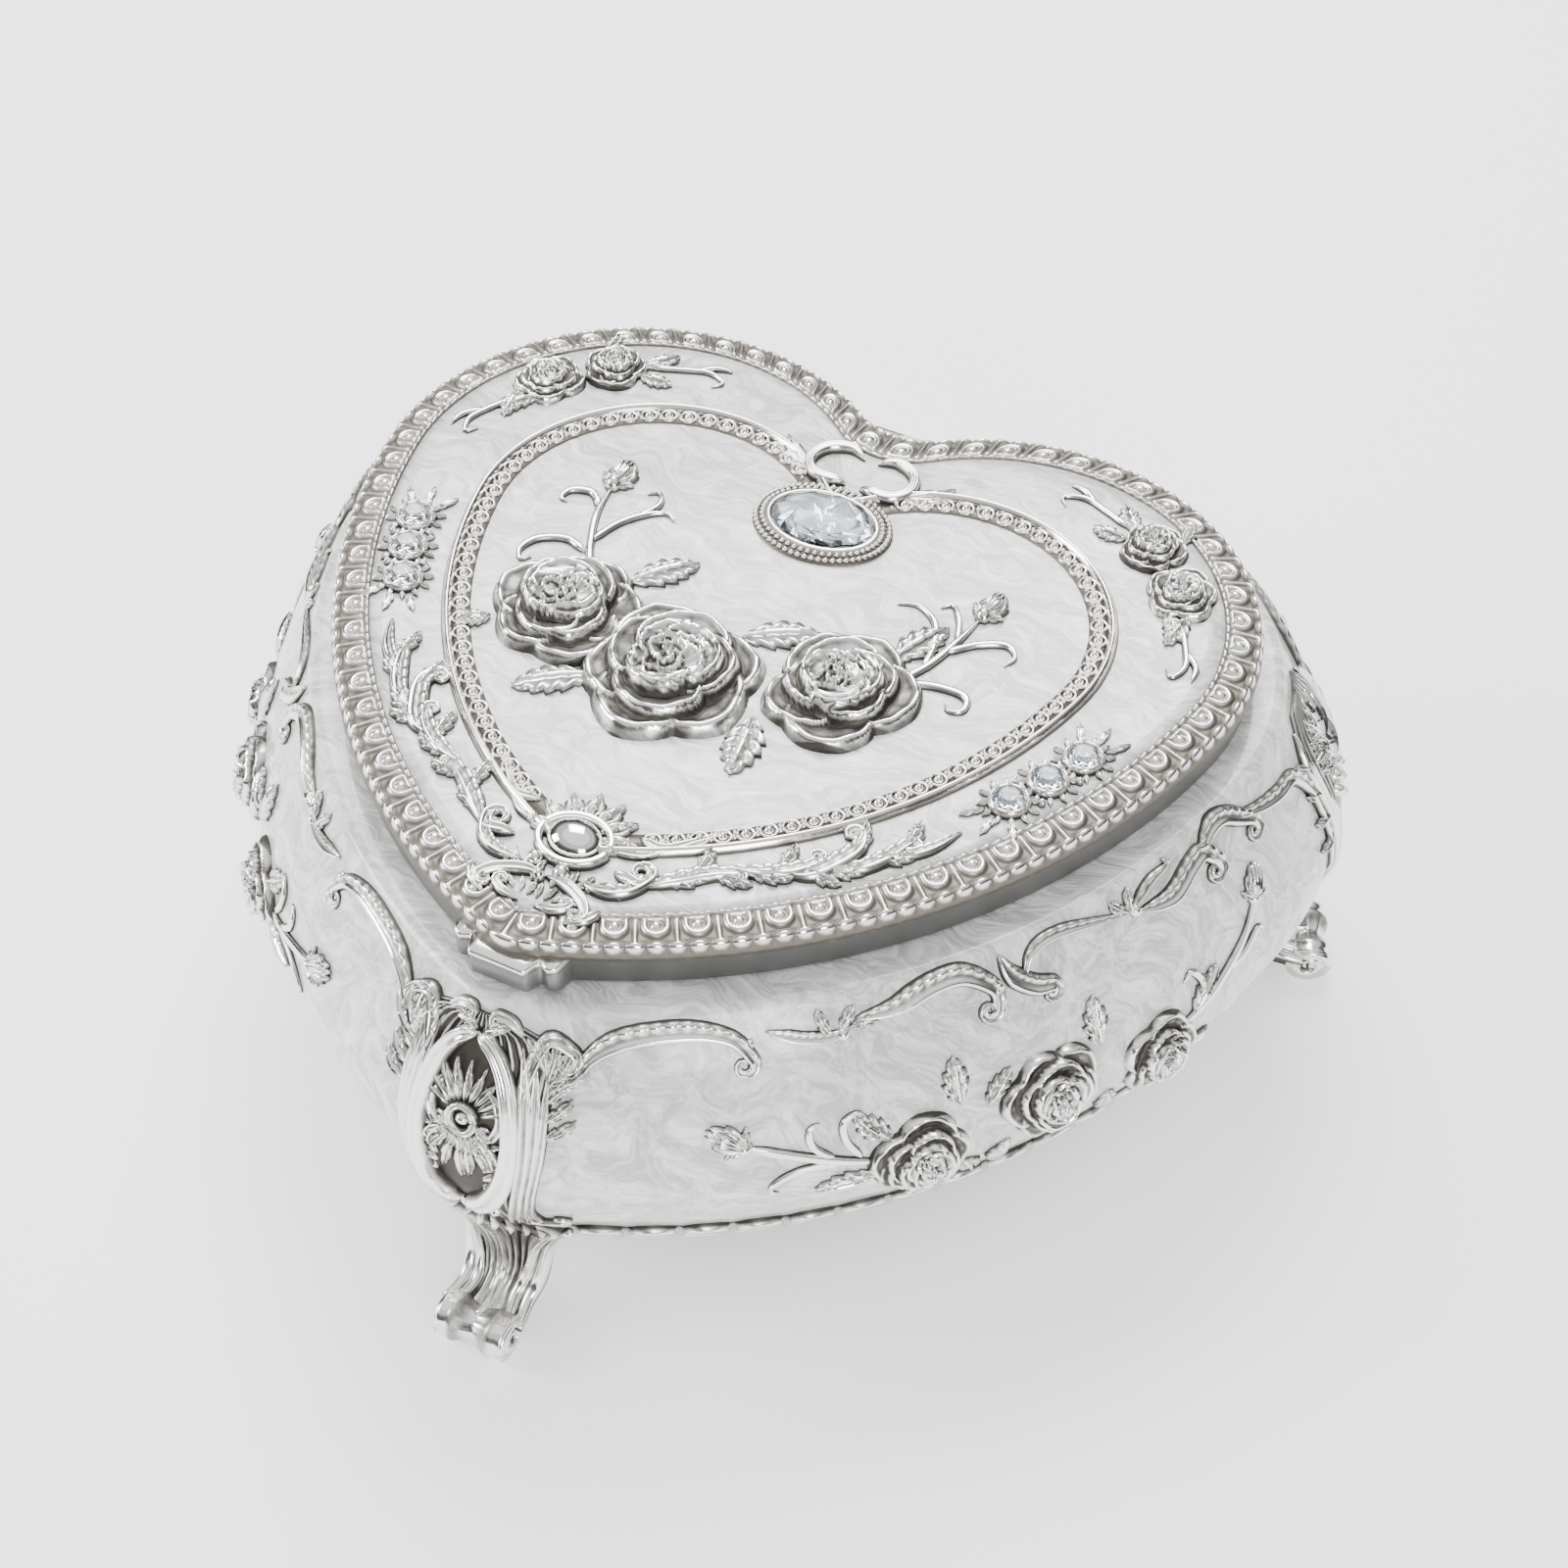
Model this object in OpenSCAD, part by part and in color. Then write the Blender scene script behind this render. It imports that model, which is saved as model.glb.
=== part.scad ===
// Heart-shaped wind-up music box: a bombe cast case on three scroll feet, a hinged
// jewelled lid with a mirror, a flocked tray, and an eighteen-note movement under the tray.
// Millimetres. +Z is up, the floor is z = 0, and the heart's tip points along -Y.

/* [Heart outline] */
// Distance of each lobe circle's centre from the heart's centre line
lobe_x = 24.8; // [20:0.2:30]
// Distance of the lobe circles' centres behind the drawing origin
lobe_y = 20; // [14:0.5:28]
// Radius of each lobe, at the lid's edge
lobe_r = 33; // [30:0.5:38]
// Radius of the long side arcs, at the lid's edge
side_r = 86; // [80:1:110]
// Radius of the rounded tip, at the lid's edge
tip_r = 4.8; // [3:0.2:8]
// Distance of the tip in front of the drawing origin, at the lid's edge
tip_y = 52; // [46:1:60]
// Radius of the fillet in the cleft
cleft_r = 10; // [6:0.5:16]

/* [Case] */
// Height of the lid's parting plane, the underside of its moulding
lid_z = 58.5; // [50:0.5:70]
// Height of the case's bottom edge above the floor
base_z = 8.5; // [7:0.5:12]
// Height of the widest part of the case
belly_z = 31; // [28:0.5:38]
// How far the widest part stands outside the lid's edge
belly_out = 12; // [6:0.2:14]
// How far the case's top edge stands outside the lid's edge
rim_out = 3; // [2:0.2:5]
// How far the case's bottom edge stands inside the lid's edge
base_in = 0.5; // [0:0.1:3]
// Wall of the cast case
wall = 2.4; // [1.8:0.2:3.4]
// Height of the ledge that the bottom plate is screwed up against
flange_z = 13; // [12:0.5:15]
// Thickness of the ledge
flange_t = 2; // [1.6:0.2:3]
// Thickness of the bottom plate
plate_t = 1.5; // [1:0.1:2]

// How hard the case draws in below its widest part: 1 is straight, more is rounder
draw_in = 1.3; // [1:0.05:1.6]

/* [Lid] */
// Depth of the plain band under the lid's moulding
band_h = 4.5; // [3.5:0.25:6]
// How far the band is set back under the moulding
band_in = 0.8; // [0.4:0.1:1.6]
// Wall of the band
band_t = 1.2; // [1:0.1:1.6]
// Width of the moulding round the lid
mould_w = 4.6; // [3.6:0.2:6]
// Height of the lid's top above the parting plane
lid_rise = 2.5; // [2:0.1:4]
// Thickness of the lid's top plate
lid_t = 1.8; // [1.4:0.1:1.9]
// Thickness of the mirror
mirror_t = 1.2; // [0.8:0.1:1.2]
// Height of the roses above the lid's top
rose_h = 3.5; // [2.5:0.25:5]
// Length of the oval crystal
crystal_l = 14; // [10:0.5:16]
// Width of the oval crystal
crystal_w = 10; // [8:0.5:12]
// Diameter of the round stones
stone_d = 4.6; // [3.2:0.2:5.4]

/* [Tray] */
// Height of the tray floor's underside
tray_z = 36.5; // [36:0.5:42]
// Wall of the flocked tray
tray_t = 1.4; // [1:0.1:2]

/* [Hinge] */
// Radius of the hinge barrel
barrel_r = 1.9; // [1.7:0.1:2.2]
// Radius of the hinge pin
pin_r = 0.9; // [0.7:0.05:1.1]
// Length of the whole hinge barrel
barrel_l = 16; // [12:1:18]
// Length of the lid's knuckle, in the middle of the barrel
knuckle_l = 7; // [5:0.5:8]

/* [Feet] */
// Radius of the rolled toe
toe_r = 3.2; // [2.6:0.1:4]
// Width of the toe
toe_w = 9; // [7:0.5:11]
// Reach of the toe's centre out from the case's bottom edge
toe_out = 12.5; // [11:0.5:15]
// Angle of the lobe feet from the X axis
foot_angle = 26; // [16:1:40]

/* [Movement] */
// Radius of the pinned music cylinder
drum_r = 6; // [5:0.25:6.5]
// Length of the music cylinder
drum_l = 21; // [18:1:22]
// Notes on the comb
notes = 18; // [12:1:22]
// Radius of the winding arbor
arbor_r = 1.5; // [1.2:0.1:2]
// Pitch radius of the crown wheel's teeth
crown_r = 9.6; // [9:0.3:9.9]
// Teeth on the crown wheel
crown_n = 24; // [24:12:24]
// Teeth on the cylinder's pinion
pinion_n = 8; // [8:4:8]
// Pitch radius of the cylinder's gear
gear_r = 7; // [6.8:0.1:7.2]
// Thickness of the bedplate
bed_t = 2.2; // [1.8:0.2:2.4]

/* [Fits] */
// Clearance between moving and fixed pieces
gap = 0.3; // [0.25:0.05:0.4]
// Radial clearance of a shaft in its bearing
fit = 0.05; // [0.02:0.01:0.08]

/* [Hidden] */

// ---- the heart outline: tangent arcs for the tip, side, lobe and cleft ----
arc_steps = [4, 12, 18, 6];
tip_least = 0.6;
lobe_c = [lobe_x, lobe_y];
tip_c = [0, tip_r - tip_y];
// The side arc encloses the lobe and tip circles, so its centre is a fixed distance from each
span = norm(lobe_c - tip_c);
along = ((side_r - lobe_r) ^ 2 - (side_r - tip_r) ^ 2 + span ^ 2) / (2 * span);
aside = sqrt((side_r - lobe_r) ^ 2 - along ^ 2);
toward = (tip_c - lobe_c) / span;
side_c = lobe_c + along * toward + aside * [toward.y, -toward.x];

function angle_of(v) = atan2(v.y, v.x);
function arc(c, r, a, b, n) = [for (i = [0 : n - 1]) c + r * [cos(a + (b - a) * i / n), sin(a + (b - a) * i / n)]];

// Right half of the outline at offset d, from the tip round to the cleft, without its last point
function half_heart(d) =
    let (tr = max(tip_r + d, tip_least),
         tc = [0, side_c.y - sqrt((side_r + d - tr) ^ 2 - side_c.x ^ 2)],
         lr = lobe_r + d,
         fc = [0, lobe_y + sqrt((lr + cleft_r) ^ 2 - lobe_x ^ 2)],
         at = angle_of(tc - side_c), al = angle_of(lobe_c - side_c), af = angle_of(fc - lobe_c))
    concat(arc(tc, tr, -90, at, arc_steps[0]), arc(side_c, side_r + d, at, al, arc_steps[1]),
           arc(lobe_c, lr, al, af, arc_steps[2]),
           arc(fc, cleft_r, angle_of(lobe_c - fc), -90, arc_steps[3]), [[0, fc.y - cleft_r]]);
function heart(d) =
    let (h = half_heart(d), m = len(h))
    concat(h, [for (i = [m - 2 : -1 : 1]) [-h[i].x, h[i].y]]);
ring_n = len(heart(0));

// Where the outline at offset d crosses the centre line at the back and at the front
function cleft_y(d) = lobe_y + sqrt((lobe_r + d + cleft_r) ^ 2 - lobe_x ^ 2) - cleft_r;
function front_y(d) = -tip_y - d;

// ---- heights and derived places ----
rim_z = lid_z - band_h - gap;
lid_top = lid_z + lid_rise;
ceiling_z = lid_top - lid_t;
plate_z = flange_z - plate_t;
bed_z = flange_z + bed_t;
mouth_in = band_in + band_t + 0.8;
// How far the case's outer surface stands outside the lid's edge at height z
function case_out(z) = z > belly_z
    ? rim_out + (belly_out - rim_out) * sin(90 * (rim_z - z) / (rim_z - belly_z))
    : belly_out - (belly_out + base_in) * ((belly_z - z) / (belly_z - base_z)) ^ draw_in;

// The model is centred on its own box: the lobes' backs and the front toe are equally far
back_y = lobe_y + lobe_r + belly_out;
toe_y = front_y(-base_in) - toe_out - toe_r;
mid_y = (back_y + toe_y) / 2;
module place() { translate([0, -mid_y, 0]) children(); }

// ---- surfaces ----
// A stack of heart rings; each entry is [offset, height]. A loop closes on itself, a stack is capped
module heart_skin(rings, loop) {
    m = len(rings);
    last = loop ? m - 1 : m - 2;
    points = [for (r = rings) for (p = heart(r[0])) [p.x, p.y, r[1]]];
    walls = [for (j = [0 : last], i = [0 : ring_n - 1], k = [0, 1])
        let (a = j * ring_n + i, b = j * ring_n + (i + 1) % ring_n,
             c = ((j + 1) % m) * ring_n + (i + 1) % ring_n, e = ((j + 1) % m) * ring_n + i)
        k == 0 ? [a, b, c] : [a, c, e]];
    caps = loop ? [] : [[for (i = [ring_n - 1 : -1 : 0]) i], [for (i = [0 : ring_n - 1]) (m - 1) * ring_n + i]];
    polyhedron(points = points, faces = concat(walls, caps), convexity = 8);
}

module heart_plate(d, low, high) {
    translate([0, 0, low]) linear_extrude(high - low) polygon(heart(d));
}

module rod_x(r, a, b, y, z) {
    translate([a, y, z]) rotate([0, 90, 0]) cylinder(r = r, h = b - a, $fn = 48);
}

module rod_y(r, a, b, x, z) {
    translate([x, b, z]) rotate([90, 0, 0]) cylinder(r = r, h = b - a, $fn = 48);
}

module rod_z(r, a, b, x = 0, y = 0) {
    translate([x, y, a]) cylinder(r = r, h = b - a, $fn = 48);
}

// ---- case ----
case_steps = 9;
boss_in = 6;
boss_r = 3.4;
boss_h = 7;
screw_r = 1.45;
flange_in = 9.5;
screw_places = [[0, tip_c.y - tip_r + boss_in - 0.4],
                [lobe_x + (lobe_r - boss_in) * cos(45), lobe_y + (lobe_r - boss_in) * sin(45)],
                [-lobe_x - (lobe_r - boss_in) * cos(45), lobe_y + (lobe_r - boss_in) * sin(45)]];

module body_shell() place() color([0.9, 0.9, 0.89]) {
    ledge_under = rim_z - wall;
    outer_top = [for (i = [0 : case_steps]) let (z = rim_z + (belly_z - rim_z) * i / case_steps) [case_out(z), z]];
    outer_low = [for (i = [1 : case_steps]) let (z = belly_z + (base_z - belly_z) * i / case_steps) [case_out(z), z]];
    inner_low = [for (z = [base_z, flange_z]) [case_out(z) - wall, z]];
    flange = [[-flange_in, flange_z], [-flange_in, flange_z + flange_t],
              [case_out(flange_z + flange_t) - wall, flange_z + flange_t]];
    inner_top = [for (i = [1 : case_steps]) let (z = flange_z + flange_t + (ledge_under - flange_z - flange_t) * i / case_steps)
        [case_out(z) - wall, z]];
    difference() {
        union() {
            heart_skin(concat(outer_top, outer_low, inner_low, flange, inner_top,
                              [[-mouth_in, ledge_under], [-mouth_in, rim_z]]), true);
            for (p = screw_places) rod_z(boss_r, flange_z + flange_t / 2, flange_z + flange_t + boss_h, p.x, p.y);
        }
        for (p = screw_places) rod_z(screw_r + fit, flange_z - 1, flange_z + flange_t + boss_h - 1.5, p.x, p.y);
    }
}

// One foot, in its own frame: u runs outward from the case's bottom edge, and v along it
foot_steps = 14;
foot_sides = 16;
foot_top_w = 20;
foot_t = 3.6;
foot_top = 22;
foot_curve = [[case_out(foot_top) + base_in, foot_top], [2.2, 12], [2, 2.5], [toe_out, toe_r - 0.2]];
function bezier(p, t) = p[0] * (1 - t) ^ 3 + 3 * p[1] * t * (1 - t) ^ 2 + 3 * p[2] * t ^ 2 * (1 - t) + p[3] * t ^ 3;
function bezier_way(p, t) = let (d = 3 * ((p[1] - p[0]) * (1 - t) ^ 2 + 2 * (p[2] - p[1]) * t * (1 - t) + (p[3] - p[2]) * t ^ 2)) d / norm(d);

module foot(origin, turn) {
    points = [for (j = [0 : foot_steps], i = [0 : foot_sides - 1])
        let (t = j / foot_steps, c = bezier(foot_curve, t), w = bezier_way(foot_curve, t), a = 360 * i / foot_sides,
             half_w = (toe_w + (foot_top_w - toe_w) * (1 - t) ^ 2) / 2, s = sin(a) * foot_t / 2)
        [c.x - w.y * s, cos(a) * half_w, c.y + w.x * s]];
    walls = [for (j = [0 : foot_steps - 1], i = [0 : foot_sides - 1], k = [0, 1])
        let (a = j * foot_sides + i, b = j * foot_sides + (i + 1) % foot_sides)
        k == 0 ? [a, b + foot_sides, b] : [a, a + foot_sides, b + foot_sides]];
    caps = [[for (i = [0 : foot_sides - 1]) i], [for (i = [foot_sides - 1 : -1 : 0]) foot_steps * foot_sides + i]];
    translate(origin) rotate([0, 0, turn]) difference() {
        union() {
            polyhedron(points = points, faces = concat(walls, caps), convexity = 6);
            rod_y(toe_r, -toe_w / 2, toe_w / 2, toe_out, toe_r - 0.2);
        }
        translate([0, -toe_w, -toe_r]) cube([toe_out + 2 * toe_r, 2 * toe_w, toe_r]);
    }
}

lobe_foot = lobe_c + (lobe_r - base_in) * [cos(foot_angle), sin(foot_angle)];
module foot_front() place() color([0.82, 0.82, 0.8]) foot([0, front_y(-base_in), 0], -90);
module foot_right() place() color([0.82, 0.82, 0.8]) foot([lobe_foot.x, lobe_foot.y, 0], foot_angle);
module foot_left() place() color([0.82, 0.82, 0.8]) foot([-lobe_foot.x, lobe_foot.y, 0], 180 - foot_angle);

// ---- bottom plate and its screws ----
plate_in = 5.2;
head_r = 2.8;
head_h = 1.4;
mount_r = 1.2;
// The movement keeps its distance in front of the ledge at the cleft
move_front = 20.52;
move_at = [4, cleft_y(-flange_in) - move_front];
arbor_at = [move_at.x - 13, move_at.y];
mount_places = [for (x = [-21, 24], y = [-15, 15]) move_at + [x, y]];

module bottom_plate() place() color([0.62, 0.62, 0.62]) difference() {
    heart_plate(-plate_in, plate_z, flange_z);
    for (p = screw_places) rod_z(screw_r + gap, plate_z - 1, flange_z + 1, p.x, p.y);
    for (p = mount_places) rod_z(mount_r + gap, plate_z - 1, flange_z + 1, p.x, p.y);
    rod_z(2 * arbor_r, plate_z - 1, flange_z + 1, arbor_at.x, arbor_at.y);
}

module pan_screw(r, low, under, top, head) {
    rod_z(r, under, top);
    difference() {
        rod_z(head, low, under);
        translate([-head, -0.4, low - 1]) cube([2 * head, 0.8, 1.6]);
        translate([-0.4, -head, low - 1]) cube([0.8, 2 * head, 1.6]);
    }
}

module plate_screws() place() color([0.7, 0.7, 0.72])
    for (p = screw_places) translate([p.x, p.y, 0])
        pan_screw(screw_r, plate_z - head_h, plate_z, flange_z + flange_t + boss_h - 2, head_r);

module movement_screws() place() color([0.7, 0.7, 0.72])
    for (p = mount_places) translate([p.x, p.y, 0])
        pan_screw(mount_r, plate_z - 1, plate_z, bed_z, 2);

// ---- hinge in the cleft ----
hinge_z = lid_z - 8.9;
hinge_clear = 0.75;
// The cleft's round wall comes back beside the centre line, so the barrel stands off by that sag too
hinge_sag = cleft_r - sqrt(cleft_r ^ 2 - (knuckle_l / 2) ^ 2);
hinge_y = cleft_y(case_out(hinge_z)) + barrel_r + hinge_clear + hinge_sag;
module hinge_bracket() place() color([0.75, 0.75, 0.74]) difference() {
    for (s = [-1, 1]) {
        a = s > 0 ? knuckle_l / 2 + gap : -barrel_l / 2;
        b = s > 0 ? barrel_l / 2 : -knuckle_l / 2 - gap;
        rod_x(barrel_r, a, b, hinge_y, hinge_z);
        translate([a, 0, 0]) rotate([90, 0, 90]) linear_extrude(b - a)
            polygon([[hinge_y + barrel_r, hinge_z], [hinge_y + barrel_r, hinge_z - 4], [hinge_y - 1.6, hinge_z - 5.5],
                     [hinge_y - 4, hinge_z - 3], [hinge_y - 3.4, hinge_z], [hinge_y - 1, hinge_z]]);
    }
    rod_x(pin_r, -barrel_l, barrel_l, hinge_y, hinge_z);
}

module hinge_pin() place() color([0.7, 0.7, 0.72]) rod_x(pin_r, -barrel_l / 2 - 0.4, barrel_l / 2 + 0.4, hinge_y, hinge_z);

arm_t = 1.1;
module lid_hinge_leaf() place() color([0.75, 0.75, 0.74]) {
    skirt_y = cleft_y(-band_in);
    edge_y = cleft_y(rim_out);
    low = rim_z + gap + 0.15;
    difference() {
        union() {
            rod_x(barrel_r, -knuckle_l / 2, knuckle_l / 2, hinge_y, hinge_z);
            translate([-knuckle_l / 2, 0, 0]) rotate([90, 0, 90]) linear_extrude(knuckle_l)
                polygon([[skirt_y - 0.2, low + 0.2], [edge_y, low], [edge_y + 1.4, low - 0.6], [hinge_y - 0.4, hinge_z + 0.4],
                         [hinge_y + 1.2, hinge_z + 1.4], [edge_y + 2.2, low + 0.7], [edge_y + 0.4, low + arm_t + 0.3],
                         [skirt_y + 1.6, low + 2.2], [skirt_y - 0.2, low + 3.4]]);
        }
        rod_x(pin_r + fit, -barrel_l, barrel_l, hinge_y, hinge_z);
    }
}

// ---- lid ----
mirror_in = 7;
module lid_shell() place() color([0.92, 0.92, 0.91])
    heart_skin([[-mould_w, lid_top], [-mould_w * 0.4, lid_top - 0.5], [0, lid_z + 0.8], [0, lid_z], [-band_in, lid_z],
                [-band_in, lid_z - band_h], [-band_in - band_t, lid_z - band_h], [-band_in - band_t, ceiling_z]], false);

module lid_mirror() place() color([0.75, 0.8, 0.84]) heart_plate(-mirror_in, ceiling_z - mirror_t, ceiling_z);

tab_w = 10;
tab_out = 2;
tab_grip = 0.3;
module thumb_tab() place() color([0.8, 0.8, 0.78]) difference() {
    y = front_y(-band_in) - tab_out;
    union() {
        translate([-tab_w / 2, y, lid_z - band_h + 0.4]) cube([tab_w, tip_r + tab_out, band_h - 0.4]);
        translate([-tab_w / 2 - 2, y + 0.6, lid_z - 1.6]) cube([tab_w + 4, tip_r + tab_out, 1.6]);
    }
    heart_plate(-band_in - tab_grip, rim_z, lid_top);
}

// ---- stones and cast ornaments on the lid ----
crystal_at = [0, 24.5];
crystal_h = 2;
bezel_w = 2.1;
bezel_h = 1.2;
seat = 0.15;
function oval(l, w, n = 48) = [for (i = [0 : n - 1]) [cos(360 * i / n) * l / 2, sin(360 * i / n) * w / 2]];
module oval_plate(l, w, low, high) { translate([crystal_at.x, crystal_at.y, low]) linear_extrude(high - low) polygon(oval(l, w)); }

module oval_crystal() place() color([0.7, 0.76, 0.82]) {
    steps = [[1, 0], [1, 0.9], [0.86, 1.5], [0.6, crystal_h]];
    n = 24;
    points = [for (s = steps) for (p = oval(crystal_l * s[0], crystal_w * s[0], n)) [p.x, p.y, s[1]]];
    walls = [for (j = [0 : len(steps) - 2], i = [0 : n - 1], k = [0, 1])
        let (a = j * n + i, b = j * n + (i + 1) % n) k == 0 ? [a, b + n, b] : [a, a + n, b + n]];
    caps = [[for (i = [0 : n - 1]) i], [for (i = [n - 1 : -1 : 0]) (len(steps) - 1) * n + i]];
    translate([crystal_at.x, crystal_at.y, lid_top + seat])
        polyhedron(points = points, faces = concat(walls, caps), convexity = 4);
}

module crystal_bezel() place() color([0.8, 0.79, 0.76]) difference() {
    oval_plate(crystal_l + 2 * bezel_w, crystal_w + 2 * bezel_w, lid_top, lid_top + bezel_h);
    oval_plate(crystal_l + 0.02, crystal_w + 0.02, lid_top + seat, lid_top + bezel_h + 1);
}

// Three stones on each side, in a row that follows the lid's edge
row_in = 8.5;
row_pitch = 5.6;
row_middle = -24.6;
function row_angle(i) = row_middle + i * row_pitch * 180 / (PI * (side_r - row_in));
function row_place(i, s) = [s * (side_c.x + (side_r - row_in) * cos(row_angle(i))),
                            side_c.y + (side_r - row_in) * sin(row_angle(i))];
stone_h = 1.9;
module round_stones() place() color([0.85, 0.88, 0.9])
    for (s = [-1, 1], i = [-1 : 1]) translate([row_place(i, s).x, row_place(i, s).y, lid_top]) {
        cylinder(d = stone_d, h = stone_h * 0.6, $fn = 48);
        translate([0, 0, stone_h * 0.6]) cylinder(d1 = stone_d, d2 = stone_d * 0.55, h = stone_h * 0.4, $fn = 48);
    }

// Places and radii of the three large roses
roses = [[-20.5, -3, 9.5], [-3, -7.8, 11], [15.5, -1, 9]];
module rose_spray() place() color([0.8, 0.8, 0.78])
    for (r = roses) translate([r[0], r[1], lid_top]) rotate_extrude($fn = 48)
        polygon([[0, 0], [r[2], 0], [r[2] * 0.92, rose_h * 0.4], [r[2] * 0.6, rose_h * 0.85], [r[2] * 0.3, rose_h], [0, rose_h]]);

cabochon_at = [0, -36.2];
module tip_cabochon() place() color([0.85, 0.85, 0.84])
    translate([cabochon_at.x, cabochon_at.y, lid_top]) rotate_extrude($fn = 48)
        polygon([[0, 0], [3.6, 0], [3.4, 1.2], [2.4, 2.2], [1.2, 2.6], [0, 2.7]]);

// ---- tray ----
tray_top = rim_z + 0.6;
tray_lip_in = band_in + band_t + gap + 0.05;
tray_in = mouth_in + 0.3;
tray_draft = 2.2;
rod_in = 7.5;
guide_r = 2.6;
rod_r = 0.8;

// ---- movement: everything below stands on the bedplate, x along the music cylinder ----
axis_z = bed_z + 12.5;
fly_at = move_at + [26.3, gear_r * 1.25 + 6.9];
stop_at = [lobe_x + sqrt((lobe_r - rod_in) ^ 2 - (fly_at.y - lobe_y) ^ 2), fly_at.y];
module flocked_tray() place() color([0.75, 0.72, 0.76]) difference() {
    union() {
        heart_skin([[-tray_in - tray_draft - tray_t, tray_z + tray_t], [-tray_in - tray_t, tray_top],
                    [-tray_lip_in, tray_top], [-tray_lip_in, rim_z], [-tray_in, rim_z],
                    [-tray_in - tray_draft, tray_z]], false);
        rod_z(guide_r, tray_z + tray_t / 2, tray_top - 0.4, stop_at.x, stop_at.y);
    }
    rod_z(rod_r + 2 * fit, tray_z - 1, tray_top + 1, stop_at.x, stop_at.y);
}

bed_l = 53;
bed_w = 38;
bed_left = move_at.x - 25;
comb_y = move_at.y - drum_r - 0.45 - gap;
comb_base = 6;
comb_tooth = 5.1;
comb_t = 0.9;
drum_x = move_at.x;

module bedplate() place() color([0.68, 0.66, 0.6]) difference() {
    union() {
        translate([bed_left, move_at.y - bed_w / 2, flange_z]) cube([bed_l, bed_w, bed_t]);
        translate([drum_x - 1, comb_y - comb_tooth - comb_base, bed_z]) cube([drum_l + 2, comb_base, axis_z - comb_t / 2 - bed_z]);
    }
    rod_z(arbor_r + fit, flange_z - 1, bed_z + 1, arbor_at.x, arbor_at.y);
    for (p = mount_places) rod_z(mount_r + fit, flange_z - 1, bed_z + 1, p.x, p.y);
    for (p = comb_screw_places) rod_z(comb_screw_r + fit, bed_z + 4, axis_z + 1, p.x, p.y);
}

comb_screw_r = 0.9;
comb_screw_places = [for (k = [0.2, 0.8]) [drum_x + drum_l * k, comb_y - comb_tooth - comb_base / 2]];
module comb() place() color([0.78, 0.78, 0.8]) difference() {
    translate([0, 0, axis_z - comb_t / 2]) {
        translate([drum_x, comb_y - comb_tooth - comb_base, 0]) cube([drum_l, comb_base, comb_t]);
        for (i = [0 : notes - 1]) translate([drum_x + (i + 0.12) * drum_l / notes, comb_y - comb_tooth - 0.5, 0])
            cube([0.76 * drum_l / notes, comb_tooth + 0.5, comb_t]);
    }
    for (p = comb_screw_places) rod_z(comb_screw_r + gap, axis_z - 2, axis_z + 2, p.x, p.y);
}

module comb_screws() place() color([0.7, 0.6, 0.4])
    for (p = comb_screw_places) translate([p.x, p.y, 0]) {
        rod_z(comb_screw_r, bed_z + 5, axis_z + comb_t / 2);
        rod_z(1.8, axis_z + comb_t / 2, axis_z + comb_t / 2 + 1.2);
    }

shaft_r = 1;
left_post = [drum_x - 2, drum_x - 0.5];
gear_at = [drum_x + drum_l + 0.6, drum_x + drum_l + 2];
right_post = [gear_at[1] + 0.6, gear_at[1] + 2];
second_y = move_at.y + gear_r * 1.25;
second_r = 0.8;
module bearing_posts() place() color([0.68, 0.66, 0.6]) difference() {
    union() {
        translate([left_post[0], move_at.y - 3, bed_z]) cube([left_post[1] - left_post[0], 6, axis_z - bed_z + 2.5]);
        translate([right_post[0], move_at.y - 3, bed_z])
            cube([right_post[1] - right_post[0], second_y - move_at.y + 6, axis_z - bed_z + 2.5]);
    }
    rod_x(shaft_r + fit, left_post[0] - 1, right_post[1] + 1, move_at.y, axis_z);
    rod_x(second_r + fit, left_post[0] - 1, right_post[1] + 1, second_y, axis_z);
}

housing_low = bed_z + 0.6;
housing_high = bed_z + 7;
housing_r = 9.6;
module spring_housing() place() color([0.8, 0.72, 0.5]) translate([arbor_at.x, arbor_at.y, 0]) difference() {
    union() {
        rod_z(housing_r, housing_low, housing_high);
        for (s = [-1, 1]) translate([-2, s * (housing_r + 0.4) - 1.2, bed_z]) cube([4, 2.4, 3]);
    }
    rod_z(housing_r - 0.8, housing_low + 0.8, housing_high - 0.8);
    rod_z(arbor_r + fit, bed_z, housing_high + 1);
}

// A flat spiral of strip, from just outside the arbor to the housing's wall
spring_turns = 6;
spring_t = 0.35;
spring_steps = 20;
function spiral_r(k) = arbor_r + 1 + (housing_r - 0.8 - gap - spring_t - arbor_r - 1) * k / (spring_turns * spring_steps);
module mainspring() place() color([0.45, 0.5, 0.58]) translate([arbor_at.x, arbor_at.y, housing_low + 1.3])
    linear_extrude(housing_high - housing_low - 2.6) polygon(concat(
        [for (k = [0 : spring_turns * spring_steps]) (spiral_r(k) + spring_t) * [cos(360 * k / spring_steps), sin(360 * k / spring_steps)]],
        [for (k = [spring_turns * spring_steps : -1 : 0]) spiral_r(k) * [cos(360 * k / spring_steps), sin(360 * k / spring_steps)]]));

crown_z = housing_high + gap + 0.1;
crown_t = 1;
tooth_h = 1.4;
pinion_r = crown_r * pinion_n / crown_n;
key_top = plate_z - 0.5;
module winding_arbor() place() color([0.6, 0.6, 0.62]) rod_z(arbor_r, key_top - 6, crown_z + crown_t + 0.4, arbor_at.x, arbor_at.y);

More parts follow.
